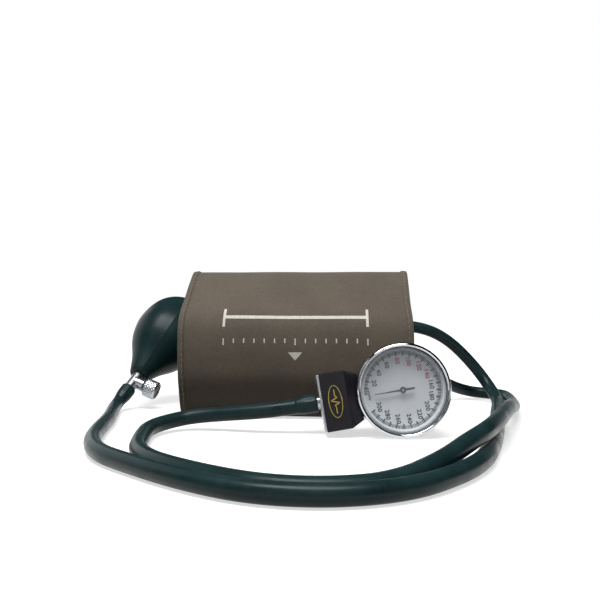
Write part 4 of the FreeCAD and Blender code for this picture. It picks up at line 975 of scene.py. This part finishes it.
studio = bpy.data.worlds.new("studio")
bpy.context.scene.world = studio
studio.use_nodes = True
air = add(studio, "ShaderNodeMapRange", {"Value": seen_share(studio), "To Min": 0.1, "To Max": 1.0})
backdrop = studio.node_tree.nodes["Background"]
backdrop.inputs["Color"].default_value = (1, 1, 1, 1)
studio.node_tree.links.new(air.outputs["Result"], backdrop.inputs["Strength"])


def facing(spot, target):
    """How a lamp or a card at a spot is turned to look at a target."""
    return (Vector(target) - Vector(spot)).to_track_quat("-Z", "Y").to_euler()


def soft_light(name, power, width, height, spot, target):
    """A soft rectangular lamp that looks at a target."""
    lamp = bpy.data.lights.new(name, "AREA")
    lamp.shape = "RECTANGLE"
    lamp.size = width
    lamp.size_y = height
    lamp.energy = power
    made = bpy.data.objects.new(name, lamp)
    made.location = spot
    made.rotation_euler = facing(spot, target)
    bpy.context.scene.collection.objects.link(made)
    return made


soft_light("key_light", 15.5, 0.9, 0.4, (-0.1, -0.42, 1.08), (0, -0.08, 0.02))
soft_light("front_light", 0.6, 0.5, 0.4, (0.1, -1.15, 0.5), (0.05, -0.08, 0.03))
back_light = soft_light("back_light", 6, 0.9, 0.5, (-0.1, 1.0, 0.8), (0, 0.05, 0.04))
back_light.visible_glossy = False

spot = bpy.data.lights.new("dial_light", "SPOT")
spot.energy = 4.2
spot.spot_size = math.radians(5.4)
spot.spot_blend = 0.7
spot.shadow_soft_size = 0.05
dial_light = bpy.data.objects.new("dial_light", spot)
dial_light.location = (0.24, -1.05, 0.3)
dial_light.rotation_euler = facing(dial_light.location, (0.0622, -0.101, 0.028))
bpy.context.scene.collection.objects.link(dial_light)


def black_flag(name, width, height, spot, target):
    """A black card that is seen only in mirrors: it gives chrome and rubber their dark bands."""
    mesh = bpy.data.meshes.new(name)
    x = width / 2
    y = height / 2
    mesh.from_pydata([(-x, -y, 0), (x, -y, 0), (x, y, 0), (-x, y, 0)], [], [(0, 1, 2, 3)])
    mesh.materials.append(black_felt)
    flag = bpy.data.objects.new(name, mesh)
    flag.location = spot
    flag.rotation_euler = facing(spot, target)
    flag.visible_camera = False
    flag.visible_diffuse = False
    flag.visible_shadow = False
    flag.visible_transmission = False
    bpy.context.scene.collection.objects.link(flag)


# black felt: a plain dark shape in every reflection
black_felt = surface("black_felt", Base_Color=linear("#0c0c0d"), Roughness=1.0, Specular_IOR_Level=0.0)[0]
FLAG_AIM = (0.02, -0.08, 0.03)
black_flag("flag_behind_camera", 2.4, 1.4, (0.5, -1.5, 0.65), FLAG_AIM)
black_flag("flag_behind_cuff", 2.6, 1.3, (0.3, 1.0, 0.75), FLAG_AIM)
black_flag("flag_at_right", 2.6, 1.4, (1.2, 0.1, 0.65), FLAG_AIM)
black_flag("flag_at_left", 1.4, 1.0, (-1.1, -0.6, 0.47), FLAG_AIM)
black_flag("flag_overhead", 3.0, 3.0, (0, 0, 1.5), FLAG_AIM)

lens = bpy.data.cameras.new("camera")
lens.sensor_width = 36
lens.lens = 39
lens.clip_start = 0.01
camera = bpy.data.objects.new("camera", lens)
camera.location = (0.0282, -0.448, 0.066)
camera.rotation_euler = (math.radians(91.23), 0, math.radians(3.52))
bpy.context.scene.collection.objects.link(camera)
bpy.context.scene.camera = camera
bpy.context.scene.view_settings.view_transform = "Standard"
